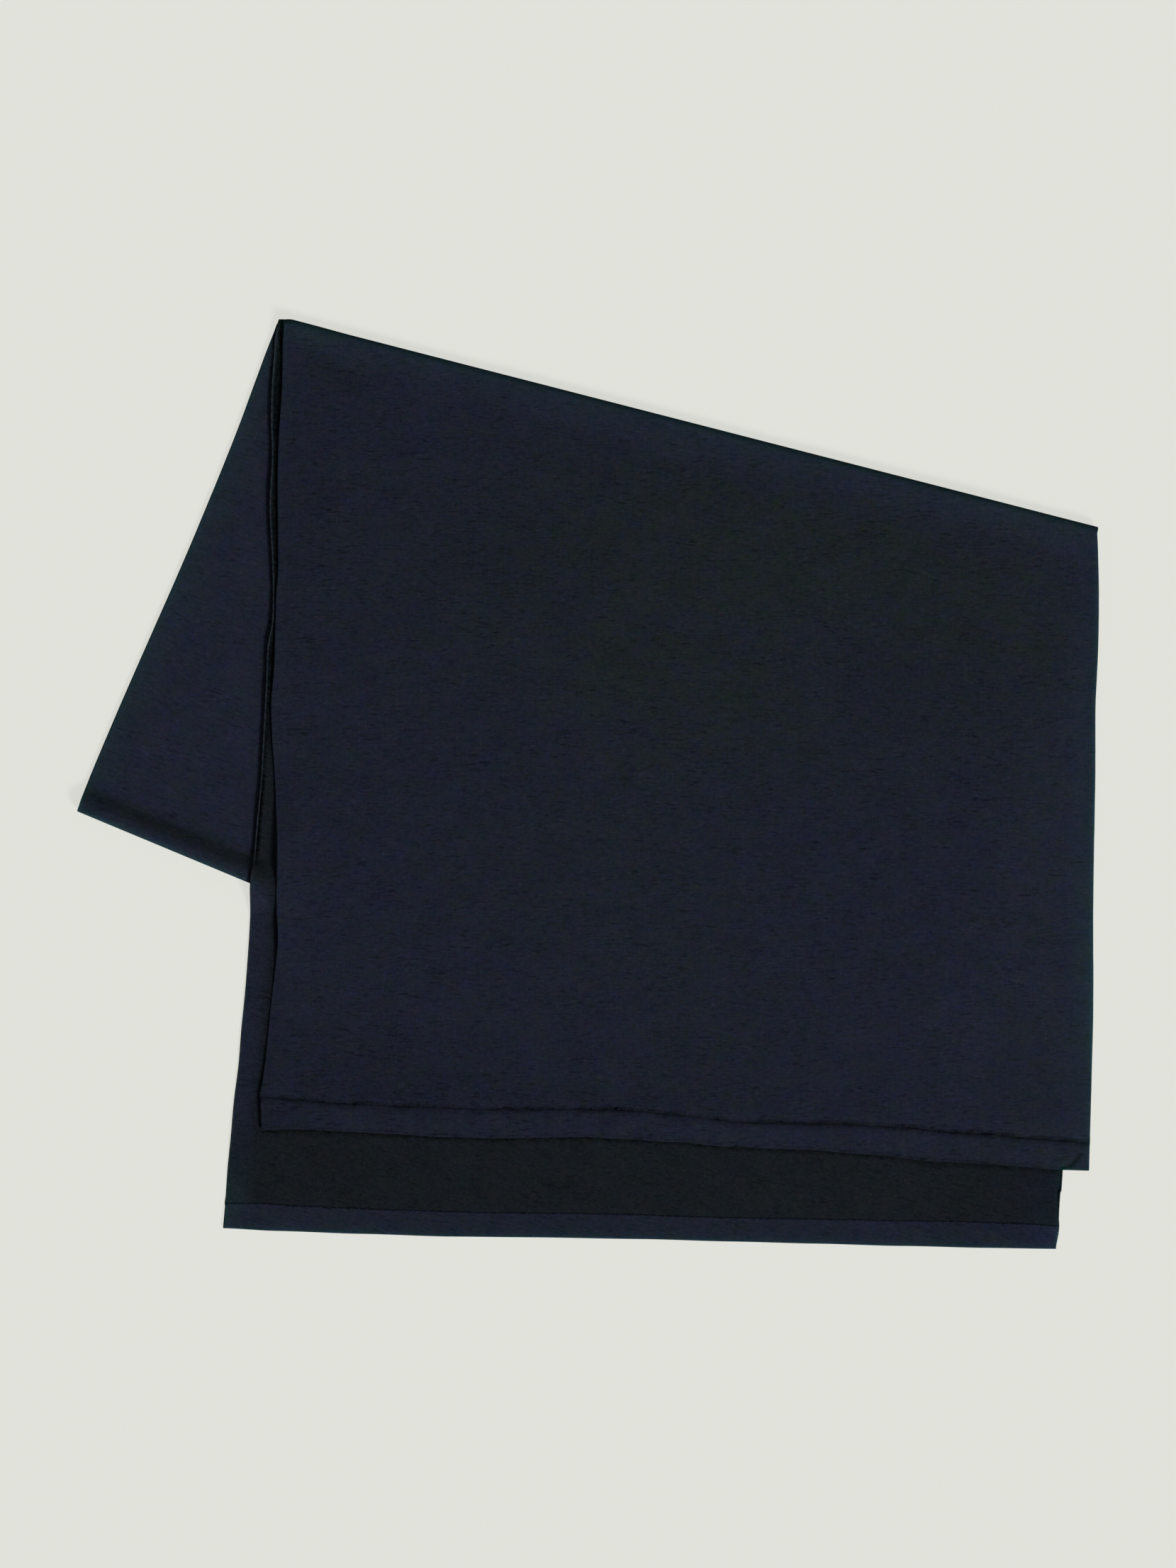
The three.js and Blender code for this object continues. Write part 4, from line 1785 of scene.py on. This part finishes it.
def jersey_finishes() -> list[bpy.types.Material]:
    """The cloth's right side, wrong side and cut edge, in the order of a sheet's slots.

    Returns:
        The three materials.
    """
    plain = KnitPattern("plain stitches", purl=False).build()
    purl = KnitPattern("purl stitches", purl=True).build()
    grain = YarnGrain().build()
    edge = EdgeLight().build()
    right_side = JerseyFace(
        "navy jersey, right side",
        blue=(0.0114, 0.0122, 0.0310),
        green=(0.0114, 0.0158, 0.0158),
        knit_shade=0.30,
        slub_shade=0.58,
        mottle_shade=0.98,
        hue_shift=1.12,
    )
    wrong_side = JerseyFace(
        "navy jersey, wrong side",
        blue=(0.0080, 0.0099, 0.0160),
        green=(0.0080, 0.0111, 0.0100),
        knit_shade=0.52,
        slub_shade=0.48,
        mottle_shade=1.30,
        hue_shift=0.85,
        margin_blue=(0.0106, 0.0130, 0.0232),
    )
    cut_edge = JerseyFace(
        "navy jersey, cut edge",
        blue=(0.0135, 0.0175, 0.0240),
        green=(0.0135, 0.0180, 0.0215),
        knit_shade=0.9,
        slub_shade=0.3,
        mottle_shade=0.8,
        edge=False,
    )
    return [
        right_side.build(plain, grain, edge),
        wrong_side.build(purl, grain, edge),
        cut_edge.build(plain, grain, edge),
    ]


@dataclass(frozen=True)
class ThreadFinish:
    """The dark sewing thread of the hems."""

    name: str = "navy sewing thread"
    dark: tuple[float, float, float] = (0.0090, 0.0115, 0.0180)
    light: tuple[float, float, float] = (0.0200, 0.0240, 0.0340)

    def build(self) -> bpy.types.Material:
        """Makes the material.

        Returns:
            The material.
        """
        material, graph, shader = new_material(self.name)
        place = graph.add("ShaderNodeTexCoord").outputs["Object"]
        twist = graph.span(graph.noise(place, (0.5, 0.5), 3.0), -0.2, 0.2)
        graph.feed(shader.inputs["Base Color"], graph.blend(twist, (*self.dark, 1.0), (*self.light, 1.0)))
        graph.feed(shader.inputs["Roughness"], graph.span(twist, 0.0, 1.0, 0.75, 0.6))
        shader.inputs["Specular IOR Level"].default_value = 0.1
        return material


@dataclass
class HemStitches:
    """Short slanting stitches over a hem's seam, each a thin, long bead of thread."""

    name: str
    seam: Path
    surface: Callable[[float, float], float]
    pitch: float
    half_length: float
    slant: float
    offset: float
    half_thickness: float = 0.17
    start_gap: float = 3.0
    end_gap: float = 1.0
    wander: float = 0.8
    turn_wander: float = 18.0
    bead_lift: float = 0.05

    def build(self) -> bpy.types.Object:
        """Makes all the stitches as one piece.

        Returns:
            The stitches' object, without a material.
        """
        first, last = self.seam.points[0][0], self.seam.points[-1][0]
        bead_size = (self.half_thickness, self.half_thickness, self.half_length)
        bm = bmesh.new()
        for index in range(int((last - first - self.start_gap - self.end_gap) / self.pitch)):
            wander = self.wander * unevenness(index * 7.3, 0.0, 5.0, 61.0)
            x = first + self.start_gap + self.pitch * index + wander
            y = self.seam.y_at(x) + self.offset
            turn = self.slant + self.turn_wander * unevenness(index * 5.1, 0.0, 5.0, 67.0)
            bead = bmesh.ops.create_uvsphere(bm, u_segments=6, v_segments=4, radius=1.0)["verts"]
            bmesh.ops.scale(bm, vec=bead_size, verts=bead)
            bmesh.ops.rotate(bm, matrix=Matrix.Rotation(math.radians(90.0), 3, "Y"), verts=bead)
            bmesh.ops.rotate(bm, matrix=Matrix.Rotation(math.radians(turn), 3, "Z"), verts=bead)
            top = self.surface(x, y) + HALF_CLOTH + self.bead_lift
            bmesh.ops.translate(bm, vec=(x, y, top), verts=bead)
        return smooth_piece(self.name, bm)


@dataclass
class Hems:
    """Both hems of the strip."""

    stack: Stack
    cloth: ScarfCloth
    back_pitch: float = 0.6

    def front_lower(self, x: float, y: float) -> float:
        """The turned-under layer of the front hem."""
        return self.stack.front_panel(x, y) + self.corner_lift(x)

    def front_upper(self, x: float, y: float) -> float:
        """The outer layer of the front hem, with its side of the groove.

        Args:
            x: where, across the picture.
            y: where, up the picture.

        Returns:
            The height of the middle of its cloth.
        """
        below = FRONT_SEAM.y_at(x) - y
        groove = self.cloth.groove_at(x) * math.exp(-((max(below, 0.0) / 2.6) ** 1.5))
        groove += 0.3 * smooth(-below, 0.0, 0.5)
        pucker = 0.3 * unevenness(x, y * 0.3, 9.0, 15.0)
        crease = 0.3 * bell(CORNER_CREASE.distance(x, y), CREASE_WIDTH)
        rise = self.stack.bare_pitch + self.corner_lift(x) * smooth(below, 0.0, 4.0)
        return self.stack.front_panel(x, y) + rise - groove + pucker - crease

    def corner_lift(self, x: float) -> float:
        """How far the hem's left end stands off the back panel."""
        return 0.35 * (1.0 - smooth(x, -234.0, -212.0))

    def back_upper(self, x: float, y: float) -> float:
        """The turned-up layer of the back hem.

        Args:
            x: where, across the picture.
            y: where, up the picture.

        Returns:
            The height of the middle of its cloth.
        """
        below = max(BACK_SEAM.y_at(x) - y, 0.0)
        rise = mix(0.06, self.back_pitch, smooth(below, 0.0, 15.0))
        return self.stack.back_panel(x, y) + rise + 0.04 * unevenness(x, y, 10.0, 23.0)

    def build(self) -> tuple[bpy.types.Object, bpy.types.Object]:
        """Makes both bands.

        Returns:
            The front band and the back band, without materials.
        """
        front = HemBand(
            "front_hem_band", FRONT_SEAM, FRONT_HEM_END, self.front_lower, self.front_upper,
            Layer.FRONT, columns=400, upper_start=-0.5,
        )  # fmt: skip
        back = HemBand(
            "back_hem_band", BACK_SEAM, BACK_HEM_END, self.stack.back_panel, self.back_upper,
            Layer.BACK, lower_start=5.3, upper_start=0.0,
        )  # fmt: skip
        return front.build(), back.build()

    def stitches(self) -> tuple[bpy.types.Object, bpy.types.Object]:
        """Makes the stitches of both hems.

        Returns:
            The front hem's stitches and the back hem's, without materials.
        """
        front = HemStitches(
            "front_hem_stitches", FRONT_SEAM, self.cloth.front_height,
            pitch=7.5, half_length=0.9, slant=75.0, offset=0.4,
        )  # fmt: skip
        back = HemStitches(
            "back_hem_stitches", BACK_SEAM, self.back_upper,
            pitch=5.5, half_length=1.3, slant=55.0, offset=-0.4,
        )  # fmt: skip
        return front.build(), back.build()


def main() -> None:
    """Builds the scarf and the studio."""
    Studio().build()
    finishes = jersey_finishes()
    stack = Stack()
    cloth = ScarfCloth(stack)
    sheet = cloth.build()
    dress(sheet, finishes, Slot.CLOTH, "scarf_cloth")
    hems = Hems(stack, cloth)
    front_hem, back_hem = hems.build()
    dress(front_hem, finishes, Slot.HEM, "front_hem")
    dress(back_hem, finishes, Slot.HEM, "back_hem")
    thread = ThreadFinish().build()
    for stitches in hems.stitches():
        dress(stitches, [thread], Slot.HEM)


if __name__ == "__main__":
    logging.basicConfig(level=logging.INFO, format="%(message)s")
    main()
